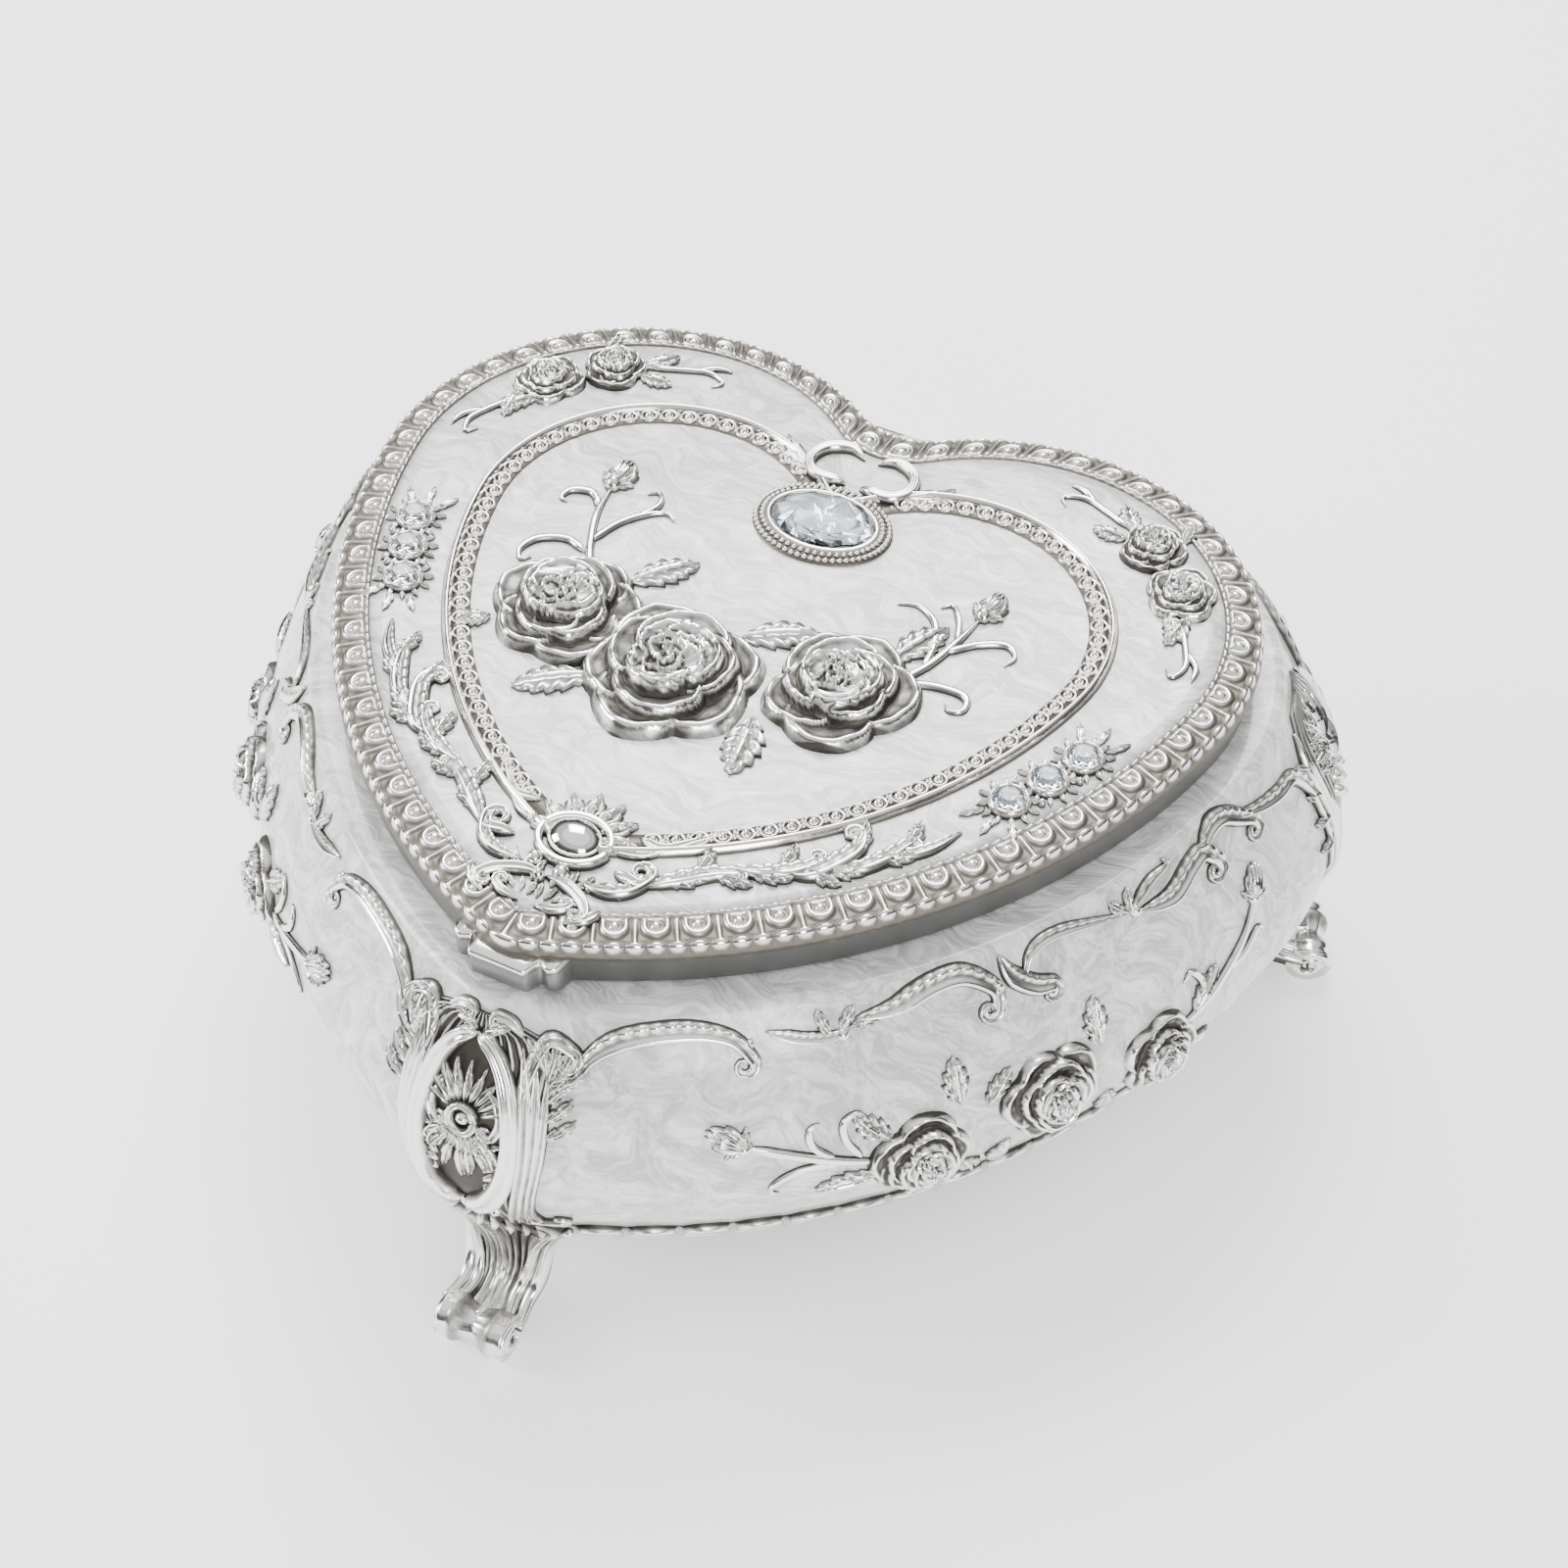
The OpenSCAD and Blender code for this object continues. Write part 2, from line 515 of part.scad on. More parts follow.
module crown_wheel() place() color([0.8, 0.68, 0.4]) translate([arbor_at.x, arbor_at.y, crown_z]) difference() {
    union() {
        rod_z(crown_r + 0.8, 0, crown_t);
        for (i = [0 : crown_n - 1]) rotate([0, 0, 360 * (i + 0.5) / crown_n]) translate([crown_r - 1.2, -0.4, crown_t - 0.2])
            cube([2, 0.8, tooth_h + 0.2]);
    }
    rod_z(arbor_r, -1, crown_t + tooth_h);
}

wing_r = 4;
wing_t = 1.6;
wing_x = 6.8;
module winding_key() place() color([0.78, 0.72, 0.55]) translate([arbor_at.x, arbor_at.y, 0]) difference() {
    union() {
        rod_z(3, key_top - 8, key_top);
        translate([-wing_x, -wing_t / 2, key_top - wing_r - 3]) cube([2 * wing_x, wing_t, 3.6]);
        for (s = [-1, 1]) rod_y(wing_r, -wing_t / 2, wing_t / 2, s * wing_x, key_top - wing_r - 1.2);
    }
    rod_z(arbor_r, key_top - 6, key_top + 1);
    for (s = [-1, 1]) rod_y(1.7, -wing_t, wing_t, s * wing_x, key_top - wing_r - 1.2);
}

// A spur gear's outline: a trapezoid tooth on every pitch, centred on the X axis
function gear_points(n, root, tip) = [for (i = [0 : n - 1], k = [[root, -0.24], [tip, -0.1], [tip, 0.1], [root, 0.24]])
    k[0] * [cos(360 * (i + k[1]) / n), sin(360 * (i + k[1]) / n)]];
module gear_x(n, root, tip, a, b, y, turn) {
    translate([a, y, axis_z]) rotate([0, 90, 0]) rotate([0, 0, turn]) linear_extrude(b - a) polygon(gear_points(n, root, tip));
}

pin_h = 0.45;
pin_wide = 0.3;
music_rows = 4;
module music_cylinder() place() color([0.8, 0.7, 0.45]) difference() {
    union() {
        rod_x(drum_r, drum_x, drum_x + drum_l, move_at.y, axis_z);
        for (i = [0 : notes - 1], k = [0 : music_rows - 1])
            translate([drum_x + (i + 0.5) * drum_l / notes, move_at.y, axis_z])
                rotate([20 + 360 * k / music_rows + 137 * i % 70, 0, 0]) translate([-pin_wide / 2, drum_r - 0.2, -pin_wide / 2])
                    cube([pin_wide, pin_h + 0.2, pin_wide]);
    }
    rod_x(shaft_r, drum_x - 1, drum_x + drum_l + 1, move_at.y, axis_z);
}

pinion_at = [arbor_at.x + crown_r - 1, arbor_at.x + crown_r + 0.6];
module cylinder_shaft() place() color([0.6, 0.6, 0.62]) {
    rod_x(shaft_r, pinion_at[0] - 0.4, right_post[1], move_at.y, axis_z);
    gear_x(pinion_n, pinion_r - 0.7, pinion_r + 0.45, pinion_at[0], pinion_at[1], move_at.y, 0);
}

gear_n = 28;
second_n = 7;
module cylinder_gear() place() color([0.8, 0.68, 0.4]) difference() {
    gear_x(gear_n, gear_r - 0.7, gear_r + 0.4, gear_at[0], gear_at[1], move_at.y, 90 + 180 / gear_n);
    rod_x(shaft_r, gear_at[0] - 1, gear_at[1] + 1, move_at.y, axis_z);
}

wheel_at = [right_post[1] + 0.6, right_post[1] + 2];
wheel_n = 20;
wheel_r = 5.5;
module governor_gear() place() color([0.85, 0.85, 0.8]) {
    rod_x(second_r, gear_at[0], wheel_at[1] + 0.4, second_y, axis_z);
    gear_x(second_n, gear_r * second_n / gear_n - 0.75, gear_r * second_n / gear_n + 0.4, gear_at[0], gear_at[1], second_y, -90);
    gear_x(wheel_n, wheel_r - 0.9, wheel_r, wheel_at[0], wheel_at[1], second_y, 0);
}

worm_r = 1.1;
fly_r = 2.6;
fly_z = axis_z + 4.2;
fly_h = 2.4;
fly_pivot_r = 0.5;
module governor_fly() place() color([0.9, 0.9, 0.88]) translate([fly_at.x, fly_at.y, 0]) {
    rod_z(fly_pivot_r, bed_z + 1.5, fly_z + fly_h + 1.2);
    rod_z(worm_r - 0.3, axis_z - 3, axis_z + 3);
    for (k = [-2 : 2]) rod_z(worm_r, axis_z + k * 1.2 - 0.25, axis_z + k * 1.2 + 0.25);
    rod_z(1, fly_z, fly_z + fly_h);
    for (s = [-1, 1]) translate([s > 0 ? 0 : -fly_r, -0.3, fly_z]) cube([fly_r, 0.6, fly_h]);
}

frame_y = fly_at.y + fly_r + gap + 0.2;
module governor_frame() place() color([0.68, 0.66, 0.6]) difference() {
    union() {
        translate([fly_at.x - 2, fly_at.y - 1.4, bed_z]) cube([4, frame_y - fly_at.y + 2.6, 2.6]);
        translate([fly_at.x - 2, frame_y, bed_z]) cube([4, 1.2, fly_z + fly_h + 1.6 - bed_z]);
        translate([fly_at.x - 2, fly_at.y - 1.4, fly_z + fly_h + 0.4]) cube([4, frame_y - fly_at.y + 2.6, 1.2]);
    }
    rod_z(fly_pivot_r + fit, bed_z + 1, fly_z + fly_h + 3, fly_at.x, fly_at.y);
}

// ---- stop work: the lid presses the rod, the rod presses the lever, the lever brakes the fly ----
lever_z = fly_z - gap - 1.1;
lever_t = 0.8;
pivot_x = stop_at.x - 9.2;
pivot_r = 0.6;
lever_w = 1.6;
module lever_bracket() place() color([0.68, 0.66, 0.6]) difference() {
    for (s = [-1, 1]) {
        translate([pivot_x - 1.5, stop_at.y + s * 2.2 - 0.6, flange_z]) cube([3, 1.2, lever_z + 1.6 - flange_z]);
        translate([pivot_x - 3, s > 0 ? stop_at.y + 1.6 : stop_at.y - 5.2, flange_z]) cube([6, 3.6, 1]);
    }
    rod_y(pivot_r, stop_at.y - 4, stop_at.y + 4, pivot_x, lever_z);
}

module stop_lever() place() color([0.7, 0.7, 0.72]) {
    tip_x = fly_at.x + worm_r + 0.9;
    translate([tip_x, stop_at.y - lever_w / 2, lever_z - lever_t / 2]) cube([stop_at.x + 1.4 - tip_x, lever_w, lever_t]);
    translate([tip_x, stop_at.y - lever_w / 2, lever_z]) cube([1, lever_w, fly_z - gap - lever_z]);
    rod_y(pivot_r - fit, stop_at.y - 2.9, stop_at.y + 2.9, pivot_x, lever_z);
    rod_y(1.1, stop_at.y - lever_w / 2, stop_at.y + lever_w / 2, pivot_x, lever_z);
}

module stop_rod() place() color([0.75, 0.75, 0.76])
    rod_z(rod_r, lever_z + lever_t / 2 + gap, ceiling_z - mirror_t - gap - 0.1, stop_at.x, stop_at.y);

body_shell();
foot_front();
foot_left();
foot_right();
bottom_plate();
plate_screws();
hinge_bracket();
hinge_pin();
flocked_tray();
lid_shell();
lid_mirror();
lid_hinge_leaf();
thumb_tab();
oval_crystal();
crystal_bezel();
round_stones();
rose_spray();
tip_cabochon();
bedplate();
movement_screws();
comb();
comb_screws();
bearing_posts();
spring_housing();
mainspring();
winding_arbor();
crown_wheel();
winding_key();
music_cylinder();
cylinder_shaft();
cylinder_gear();
governor_gear();
governor_frame();
governor_fly();
lever_bracket();
stop_lever();
stop_rod();
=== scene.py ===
"""Looks of a heart-shaped wind-up music box: a pearl-enamelled case on three scroll feet, a jewelled
lid, and the movement inside. Shapes are worked out in millimetres and put into metres at the end."""
import math

import bmesh
import bpy
import numpy as np
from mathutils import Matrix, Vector


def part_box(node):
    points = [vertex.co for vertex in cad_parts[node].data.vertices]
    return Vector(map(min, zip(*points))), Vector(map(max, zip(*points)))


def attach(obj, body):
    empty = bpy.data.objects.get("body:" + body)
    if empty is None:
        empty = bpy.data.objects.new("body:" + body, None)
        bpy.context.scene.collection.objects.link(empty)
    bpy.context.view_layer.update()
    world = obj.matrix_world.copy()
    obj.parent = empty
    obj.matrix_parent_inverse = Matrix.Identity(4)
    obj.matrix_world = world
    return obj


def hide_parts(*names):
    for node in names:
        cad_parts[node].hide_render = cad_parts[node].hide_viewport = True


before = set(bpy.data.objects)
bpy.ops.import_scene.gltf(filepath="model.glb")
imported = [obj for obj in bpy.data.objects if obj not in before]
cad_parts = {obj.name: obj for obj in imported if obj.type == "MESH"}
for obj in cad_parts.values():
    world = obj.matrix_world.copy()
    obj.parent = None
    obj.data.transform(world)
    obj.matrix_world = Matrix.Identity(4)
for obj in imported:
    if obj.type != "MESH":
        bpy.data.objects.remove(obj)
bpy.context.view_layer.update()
MM = 0.001


# ---- Camera, floor and studio light -------------------------------------------------------------
# A long lens looks down on the lid from the right of the tip. The box stands on a pale sweep of
# card, under a big soft light overhead, a softer one at the left, and darker card between them.
LENS = 71.9
VIEW_TURN, VIEW_RISE, VIEW_AWAY = math.radians(27.82), math.radians(45.84), 360.3 * MM
lid_low, lid_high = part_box("lid_shell")
case_low, case_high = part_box("body_shell")
parting = case_high.z + 4.8 * MM
view_at = np.array([0.0154, -0.0138, parting])
view_back = np.array([math.sin(VIEW_TURN) * math.cos(VIEW_RISE),
                      -math.cos(VIEW_TURN) * math.cos(VIEW_RISE), math.sin(VIEW_RISE)])


def aim(thing, place, target):
    """Puts a light or the camera at place, with its -Z axis towards target."""
    way = Vector(target) - Vector(place)
    thing.location = place
    thing.rotation_euler = way.to_track_quat("-Z", "Y").to_euler()
    bpy.context.scene.collection.objects.link(thing)
    return thing


lens = bpy.data.cameras.new("camera")
lens.sensor_width = 36
lens.lens = LENS
bpy.context.scene.camera = aim(bpy.data.objects.new("camera", lens), view_at + view_back * VIEW_AWAY, view_at)


def soft_light(name, place, size, power):
    """A square soft box of the given size and power, aimed at the lid."""
    light = bpy.data.lights.new(name, "AREA")
    light.shape = "SQUARE"
    light.size = size
    light.energy = power
    return aim(bpy.data.objects.new(name, light), place, (0, 0, 0.04))


soft_light("top_box", (-0.16, 0.34, 0.62), 0.42, 7.5)
soft_light("left_box", (-0.70, -0.30, 0.34), 0.36, 6.5)
soft_light("front_box", (0.50, -0.62, 0.30), 0.30, 4.2)

world = bpy.data.worlds.new("studio")
bpy.context.scene.world = world
world.use_nodes = True
sky = world.node_tree.nodes["Background"]
sky.inputs["Strength"].default_value = 1.0
sky_out = world.node_tree.nodes["World Output"]
plain_sky = world.node_tree.nodes.new("ShaderNodeBackground")
seen = world.node_tree.nodes.new("ShaderNodeLightPath")
sky_choice = world.node_tree.nodes.new("ShaderNodeMixShader")
world.node_tree.links.new(seen.outputs["Is Camera Ray"], sky_choice.inputs[0])
world.node_tree.links.new(sky.outputs[0], sky_choice.inputs[1])
world.node_tree.links.new(plain_sky.outputs[0], sky_choice.inputs[2])
world.node_tree.links.new(sky_choice.outputs[0], sky_out.inputs["Surface"])
plain_sky.inputs["Color"].default_value = (1.0, 1.0, 1.0, 1)
plain_sky.inputs["Strength"].default_value = 1.3
sky_way = world.node_tree.nodes.new("ShaderNodeTexCoord")
sky_parts = world.node_tree.nodes.new("ShaderNodeSeparateXYZ")
sky_ramp = world.node_tree.nodes.new("ShaderNodeValToRGB")
world.node_tree.links.new(sky_way.outputs["Generated"], sky_parts.inputs[0])
world.node_tree.links.new(sky_parts.outputs["Z"], sky_ramp.inputs["Fac"])
world.node_tree.links.new(sky_ramp.outputs["Color"], sky.inputs["Color"])
for stop, (height, level) in zip([sky_ramp.color_ramp.elements[0], sky_ramp.color_ramp.elements[1]],
                                 [(0.10, 0.05), (0.95, 1.35)]):
    stop.position = height
    stop.color = (level, level, level, 1)
for height, level in [(0.36, 0.16), (0.55, 0.95), (0.70, 0.75), (0.80, 1.3)]:
    sky_ramp.color_ramp.elements.new(height).color = (level, level, level, 1)

floor_mesh = bpy.data.meshes.new("floor")
FLOOR = 1.6
floor_mesh.from_pydata([(-FLOOR, -FLOOR, 0), (FLOOR, -FLOOR, 0), (FLOOR, FLOOR, 0), (-FLOOR, FLOOR, 0)],
                       [], [(0, 1, 2, 3)])
floor = bpy.data.objects.new("floor", floor_mesh)
bpy.context.scene.collection.objects.link(floor)
card = bpy.data.materials.new("pale_card")
card.use_nodes = True
card.node_tree.nodes["Principled BSDF"].inputs["Base Color"].default_value = (0.93, 0.93, 0.93, 1)
card.node_tree.nodes["Principled BSDF"].inputs["Emission Color"].default_value = (1, 1, 1, 1)
card.node_tree.nodes["Principled BSDF"].inputs["Emission Strength"].default_value = 0.75
card_side = card.node_tree.nodes.new("ShaderNodeNewGeometry")
card_front = card.node_tree.nodes.new("ShaderNodeMath")
card_front.operation = "SUBTRACT"
card_front.inputs[0].default_value = 1.0
card.node_tree.links.new(card_side.outputs["Backfacing"], card_front.inputs[1])
card.node_tree.links.new(card_front.outputs[0], card.node_tree.nodes["Principled BSDF"].inputs["Alpha"])
card.node_tree.nodes["Principled BSDF"].inputs["Roughness"].default_value = 0.9
floor_mesh.materials.append(card)


# ---- The case: a bombe heart shell, cast in zinc and enamelled pearl white outside ----------------
# The shell is one casting. Its outline is four tangent arcs a side, and its wall swells to a belly
# and draws in again to the base. The outside is enamelled, and the rest is left silver plated.
OUTLINE = dict(lobe_x=24.8, lobe_y=20.0, lobe_r=33.0, side_r=86.0, tip_r=4.8, tip_y=52.0, cleft_r=10.0)
LID_Z, BASE_Z, BELLY_Z = 58.5, 8.5, 31.0
RIM_OUT, BELLY_OUT, BASE_IN, DRAW_IN = 3.0, 12.0, 0.5, 1.3
RIM_Z = case_high.z / MM
WALL, FLANGE_Z, FLANGE_T, FLANGE_IN, MOUTH_IN = 2.4, 13.0, 2.0, 9.5, 2.8
CASE_AT, LID_AT = 8.0, -2.3
SHIFT_Y = lid_low.y / MM + OUTLINE["tip_y"]


def arcs(shape, out):
    """The heart's arcs at offset out: the tip's radius and centre height, the lobe's radius, the cleft's
    centre height, and the angles at which the tip, side, lobe and cleft arcs meet."""
    lobe = np.array([shape["lobe_x"], shape["lobe_y"]])
    tip = np.array([0.0, shape["tip_r"] - shape["tip_y"]])
    to_lobe, to_tip = shape["side_r"] - shape["lobe_r"], shape["side_r"] - shape["tip_r"]
    span = np.linalg.norm(tip - lobe)
    along = (to_lobe ** 2 - to_tip ** 2 + span ** 2) / (2 * span)
    toward = (tip - lobe) / span
    side = lobe + along * toward + math.sqrt(to_lobe ** 2 - along ** 2) * np.array([toward[1], -toward[0]])
    out = np.asarray(out, float)
    tip_r = np.maximum(shape["tip_r"] + out, 0.6)
    tip_y = side[1] - np.sqrt((shape["side_r"] + out - tip_r) ** 2 - side[0] ** 2)
    lobe_r = shape["lobe_r"] + out
    cleft_y = lobe[1] + np.sqrt((lobe_r + shape["cleft_r"]) ** 2 - lobe[0] ** 2)
    turn_tip = np.arctan2(tip_y - side[1], -side[0])
    turn_side = math.atan2(lobe[1] - side[1], lobe[0] - side[0])
    turn_lobe = np.arctan2(cleft_y - lobe[1], -lobe[0])
    turn_cleft = np.arctan2(lobe[1] - cleft_y, lobe[0])
    return side, tip_r, tip_y, lobe_r, cleft_y, turn_tip, turn_side, turn_lobe, turn_cleft


def lengths(shape, at):
    """Distances from the tip, along the outline at offset at, to the end of each of the four arcs."""
    side, tip_r, tip_y, lobe_r, cleft_y, tt, ts, tl, tc = arcs(shape, at)
    pieces = [tip_r * (tt + math.pi / 2), (shape["side_r"] + at) * (ts - tt), lobe_r * (tl - ts),
              shape["cleft_r"] * (tc + math.pi / 2)]
    return np.concatenate([[0.0], np.cumsum(pieces)])


def heart(way, out, at=CASE_AT, shape=OUTLINE):
    """x, y and the outward direction at distance way from the tip (right is positive), measured along the
    outline at offset at, then moved to offset out. Each arc keeps its own share of the way."""
    way, out = np.broadcast_arrays(np.asarray(way, float), np.asarray(out, float))
    ends = lengths(shape, at)
    sign, gone = np.where(way < 0, -1.0, 1.0), np.clip(np.abs(way), 0, ends[-1] - 1e-9)
    side, tip_r, tip_y, lobe_r, cleft_y, tt, ts, tl, tc = arcs(shape, out)
    part = [np.clip((gone - ends[i]) / (ends[i + 1] - ends[i]), 0, 1) for i in range(4)]
    turns = [-math.pi / 2 + (tt + math.pi / 2) * part[0], tt + (ts - tt) * part[1],
             ts + (tl - ts) * part[2], tc + (-math.pi / 2 - tc) * part[3]]
    which = np.searchsorted(ends, gone, side="right") - 1
    wide = [tip_r, shape["side_r"] + out, lobe_r, shape["cleft_r"] + 0 * out]
    mid_x = [0 * out, side[0] + 0 * out, shape["lobe_x"] + 0 * out, 0 * out]
    mid_y = [tip_y, side[1] + 0 * out, shape["lobe_y"] + 0 * out, cleft_y]
    choice = [which == 0, which == 1, which == 2, which >= 3]
    turn, r = np.select(choice, turns), np.select(choice, wide)
    x, y = np.select(choice, mid_x) + r * np.cos(turn), np.select(choice, mid_y) + r * np.sin(turn)
    outward = np.where(which >= 3, turn + math.pi, turn)
    return x * sign, y, np.cos(outward) * sign, np.sin(outward)


def case_out(z):
    """How far the case stands outside the lid's edge at height z: a quarter sine above the belly, and a
    power curve below it."""
    z = np.asarray(z, float)
    upper = RIM_OUT + (BELLY_OUT - RIM_OUT) * np.sin(np.pi / 2 * (RIM_Z - z) / (RIM_Z - BELLY_Z))
    lower = BELLY_OUT - (BELLY_OUT + BASE_IN) * (np.clip(BELLY_Z - z, 0, None) / (BELLY_Z - BASE_Z)) ** DRAW_IN
    return np.where(z > BELLY_Z, upper, lower)


table_z = np.linspace(BASE_Z, RIM_Z, 500)
table_out = case_out(table_z)
table_rise = np.concatenate([[0], np.cumsum(np.hypot(np.diff(table_z), np.diff(table_out)))])


def rise_of(z):
    """Distance up the case's curved wall from its bottom edge to height z."""
    return np.interp(z, table_z, table_rise)


def on_case(p):
    """Points given as distance round the case, distance up its wall and height off it, in space."""
    z = np.interp(p[..., 1], table_rise, table_z)
    slope_z = np.interp(p[..., 1], table_rise, np.gradient(table_z, table_rise))
    slope_out = np.interp(p[..., 1], table_rise, np.gradient(table_out, table_rise))
    over = p[..., 1] - np.clip(p[..., 1], 0, table_rise[-1])
    x, y, nx, ny = heart(p[..., 0], case_out(z) + over * slope_out)
    lift = p[..., 2] * slope_z
    return xyz(x + nx * lift, y + ny * lift + SHIFT_Y, z + over * slope_z - p[..., 2] * slope_out)


def xyz(a, b, c):
    """Three arrays, broadcast together, as points."""
    return np.stack(np.broadcast_arrays(a, b, c), -1)


def grid_part(points, close_rows=False, close_columns=False, wear_and_shade=1.0, skin=0):
    """One or more grids of points (copies, rows, columns, 3), to be joined into a piece. The wear value is 0 in a
    recess, painted dark as antiquing and painted shade, and 1 on a high point, worn bright; skin is the number of the
    material."""
    points = np.asarray(points, float)
    points = points[None] if points.ndim == 3 else points
    return points, close_rows, close_columns, np.broadcast_to(wear_and_shade, points.shape[:-1]), skin


def make_piece(name, parts, materials, body, nodes=(), round_off=True):
    """Joins grid parts into one closed mesh in metres: quads between neighbouring rows and columns, wrapped
    where a part says so, then doubles are merged and the faces turned outwards."""
    verts, faces, wear_and_shade, skins, start = [], [], [], [], 0
    for points, close_rows, close_columns, part_wear_and_shade, skin in parts:
        k, n, m = points.shape[:3]
        i = np.arange(n if close_rows else n - 1)
        j = np.arange(m if close_columns else m - 1)
        c, i, j = (a.ravel() for a in np.meshgrid(np.arange(k), i, j, indexing="ij"))
        low, high = start + c * n * m + i * m, start + c * n * m + ((i + 1) % n) * m
        faces.append(np.stack([low + j, low + (j + 1) % m, high + (j + 1) % m, high + j], 1))
        skins.append(np.full(len(i), skin))
        verts.append(points.reshape(-1, 3))
        wear_and_shade.append(np.asarray(part_wear_and_shade, float).reshape(-1))
        start += k * n * m
    verts, faces = np.concatenate(verts) * MM, np.concatenate(faces)
    mesh = bpy.data.meshes.new(name)
    mesh.vertices.add(len(verts))
    mesh.vertices.foreach_set("co", verts.astype(np.float32).ravel())
    mesh.loops.add(faces.size)
    mesh.loops.foreach_set("vertex_index", faces.astype(np.int32).ravel())
    mesh.polygons.add(len(faces))
    mesh.polygons.foreach_set("loop_start", np.arange(0, faces.size, 4, dtype=np.int32))
    mesh.polygons.foreach_set("material_index", np.concatenate(skins).astype(np.int32))
    mesh.update(calc_edges=True)
    # Per-point wear value: low in recesses, which get painted shade and black antiquing, and high on worn bright points
    mesh.attributes.new("wear_and_shade", "FLOAT", "POINT").data.foreach_set("value", np.concatenate(wear_and_shade).astype(np.float32))
    work = bmesh.new()
    work.from_mesh(mesh)
    bmesh.ops.remove_doubles(work, verts=work.verts, dist=2e-6)
    bmesh.ops.dissolve_degenerate(work, edges=work.edges, dist=1e-7)
    bmesh.ops.recalc_face_normals(work, faces=work.faces)
    work.to_mesh(mesh)
    work.free()
    mesh.polygons.foreach_set("use_smooth", np.full(len(mesh.polygons), round_off))
    for material in materials:
        mesh.materials.append(material)
    piece = bpy.data.objects.new(name, mesh)
    bpy.context.scene.collection.objects.link(piece)
    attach(piece, body)
    if nodes:
        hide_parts(*nodes)
    return piece


def node_group(name, inputs, outputs):
    """An empty shader node group with the named float, vector or colour sockets."""
    group = bpy.data.node_groups.new(name, "ShaderNodeTree")
    kinds = {"f": "NodeSocketFloat", "v": "NodeSocketVector", "c": "NodeSocketColor"}
    for label, kind in inputs:
        group.interface.new_socket(label, in_out="INPUT", socket_type=kinds[kind])
    for label, kind in outputs:
        group.interface.new_socket(label, in_out="OUTPUT", socket_type=kinds[kind])
    return group, group.nodes.new("NodeGroupInput"), group.nodes.new("NodeGroupOutput")


def noise(tree, vector, scale, detail=2.0, warp=0.0):
    """A noise texture on a vector, and its height output."""
    node = tree.nodes.new("ShaderNodeTexNoise")
    node.inputs["Scale"].default_value = scale
    node.inputs["Detail"].default_value = detail
    node.inputs["Distortion"].default_value = warp
    tree.links.new(vector, node.inputs["Vector"])
    return node.outputs["Fac"]


def ramp(tree, value, low, high, floor_at=0.0, top=1.0):
    """value mapped smoothly from low..high to floor_at..top."""
    node = tree.nodes.new("ShaderNodeMapRange")
    node.interpolation_type = "SMOOTHSTEP"
    for label, number in zip(("From Min", "From Max", "To Min", "To Max"), (low, high, floor_at, top)):
        node.inputs[label].default_value = number
    tree.links.new(value, node.inputs["Value"])
    return node.outputs["Result"]


def math_node(tree, kind, a, b):
    """a and b joined by one operation. Either can be a number."""
    node = tree.nodes.new("ShaderNodeMath")
    node.operation = kind
    for socket, value in zip(node.inputs, (a, b)):
        if isinstance(value, (int, float)):
            socket.default_value = value
        else:
            tree.links.new(value, socket)
    return node.outputs[0]


def mix_colour(tree, share, a, b):
    """Colour a at share 0 and b at share 1. Each is a colour or a socket."""
    node = tree.nodes.new("ShaderNodeMix")
    node.data_type = "RGBA"
    tree.links.new(share, node.inputs[0])
    for socket, value in zip((node.inputs[6], node.inputs[7]), (a, b)):
        if isinstance(value, tuple):
            socket.default_value = (*value, 1)
        else:
            tree.links.new(value, socket)
    return node.outputs[2]


def shader(name, metallic=0.0, roughness=0.4, colour=(0.8, 0.8, 0.8), **more):
    """A material, its tree and its Principled shader, with plain numbers set on the shader's sockets."""
    material = bpy.data.materials.new(name)
    material.use_nodes = True
    tree = material.node_tree
    bsdf = tree.nodes["Principled BSDF"]
    bsdf.inputs["Metallic"].default_value = metallic
    bsdf.inputs["Roughness"].default_value = roughness
    bsdf.inputs["Base Color"].default_value = (*colour, 1)
    for label, value in more.items():
        bsdf.inputs[label.replace("_", " ")].default_value = value
    place = tree.nodes.new("ShaderNodeTexCoord").outputs["Object"]
    return material, tree, bsdf, place


def put_bump(tree, bsdf, height, strength, distance):
    """A bump of the given strength, and distance in metres, into the shader's normal."""
    node = tree.nodes.new("ShaderNodeBump")
    node.inputs["Strength"].default_value = strength
    node.inputs["Distance"].default_value = distance
    tree.links.new(height, node.inputs["Height"])
    tree.links.new(node.outputs["Normal"], bsdf.inputs["Normal"])


# Pearl strokes: brushed swirls that the mica in the enamel leaves as it is laid on
strokes, strokes_in, strokes_out = node_group("pearl_strokes", [("Place", "v"), ("Scale", "f")],
                                              [("Stroke", "f"), ("Fine", "f")])
swirl_scale = strokes.nodes.new("ShaderNodeVectorMath")
swirl_scale.operation = "SCALE"
strokes.links.new(strokes_in.outputs["Place"], swirl_scale.inputs[0])
strokes.links.new(strokes_in.outputs["Scale"], swirl_scale.inputs["Scale"])
swirl = strokes.nodes.new("ShaderNodeTexNoise")
swirl.inputs["Scale"].default_value = 0.35
swirl.inputs["Detail"].default_value = 2.0
strokes.links.new(swirl_scale.outputs[0], swirl.inputs["Vector"])
swirl_push = strokes.nodes.new("ShaderNodeVectorMath")
swirl_push.operation = "MULTIPLY_ADD"
swirl_push.inputs[1].default_value = (4.0, 4.0, 4.0)
strokes.links.new(swirl.outputs["Color"], swirl_push.inputs[0])
strokes.links.new(swirl_scale.outputs[0], swirl_push.inputs[2])
swirl_flat = strokes.nodes.new("ShaderNodeMapping")
swirl_flat.inputs["Scale"].default_value = (0.28, 2.3, 1.7)
swirl_flat.inputs["Rotation"].default_value = (0.2, 0.1, 0.5)
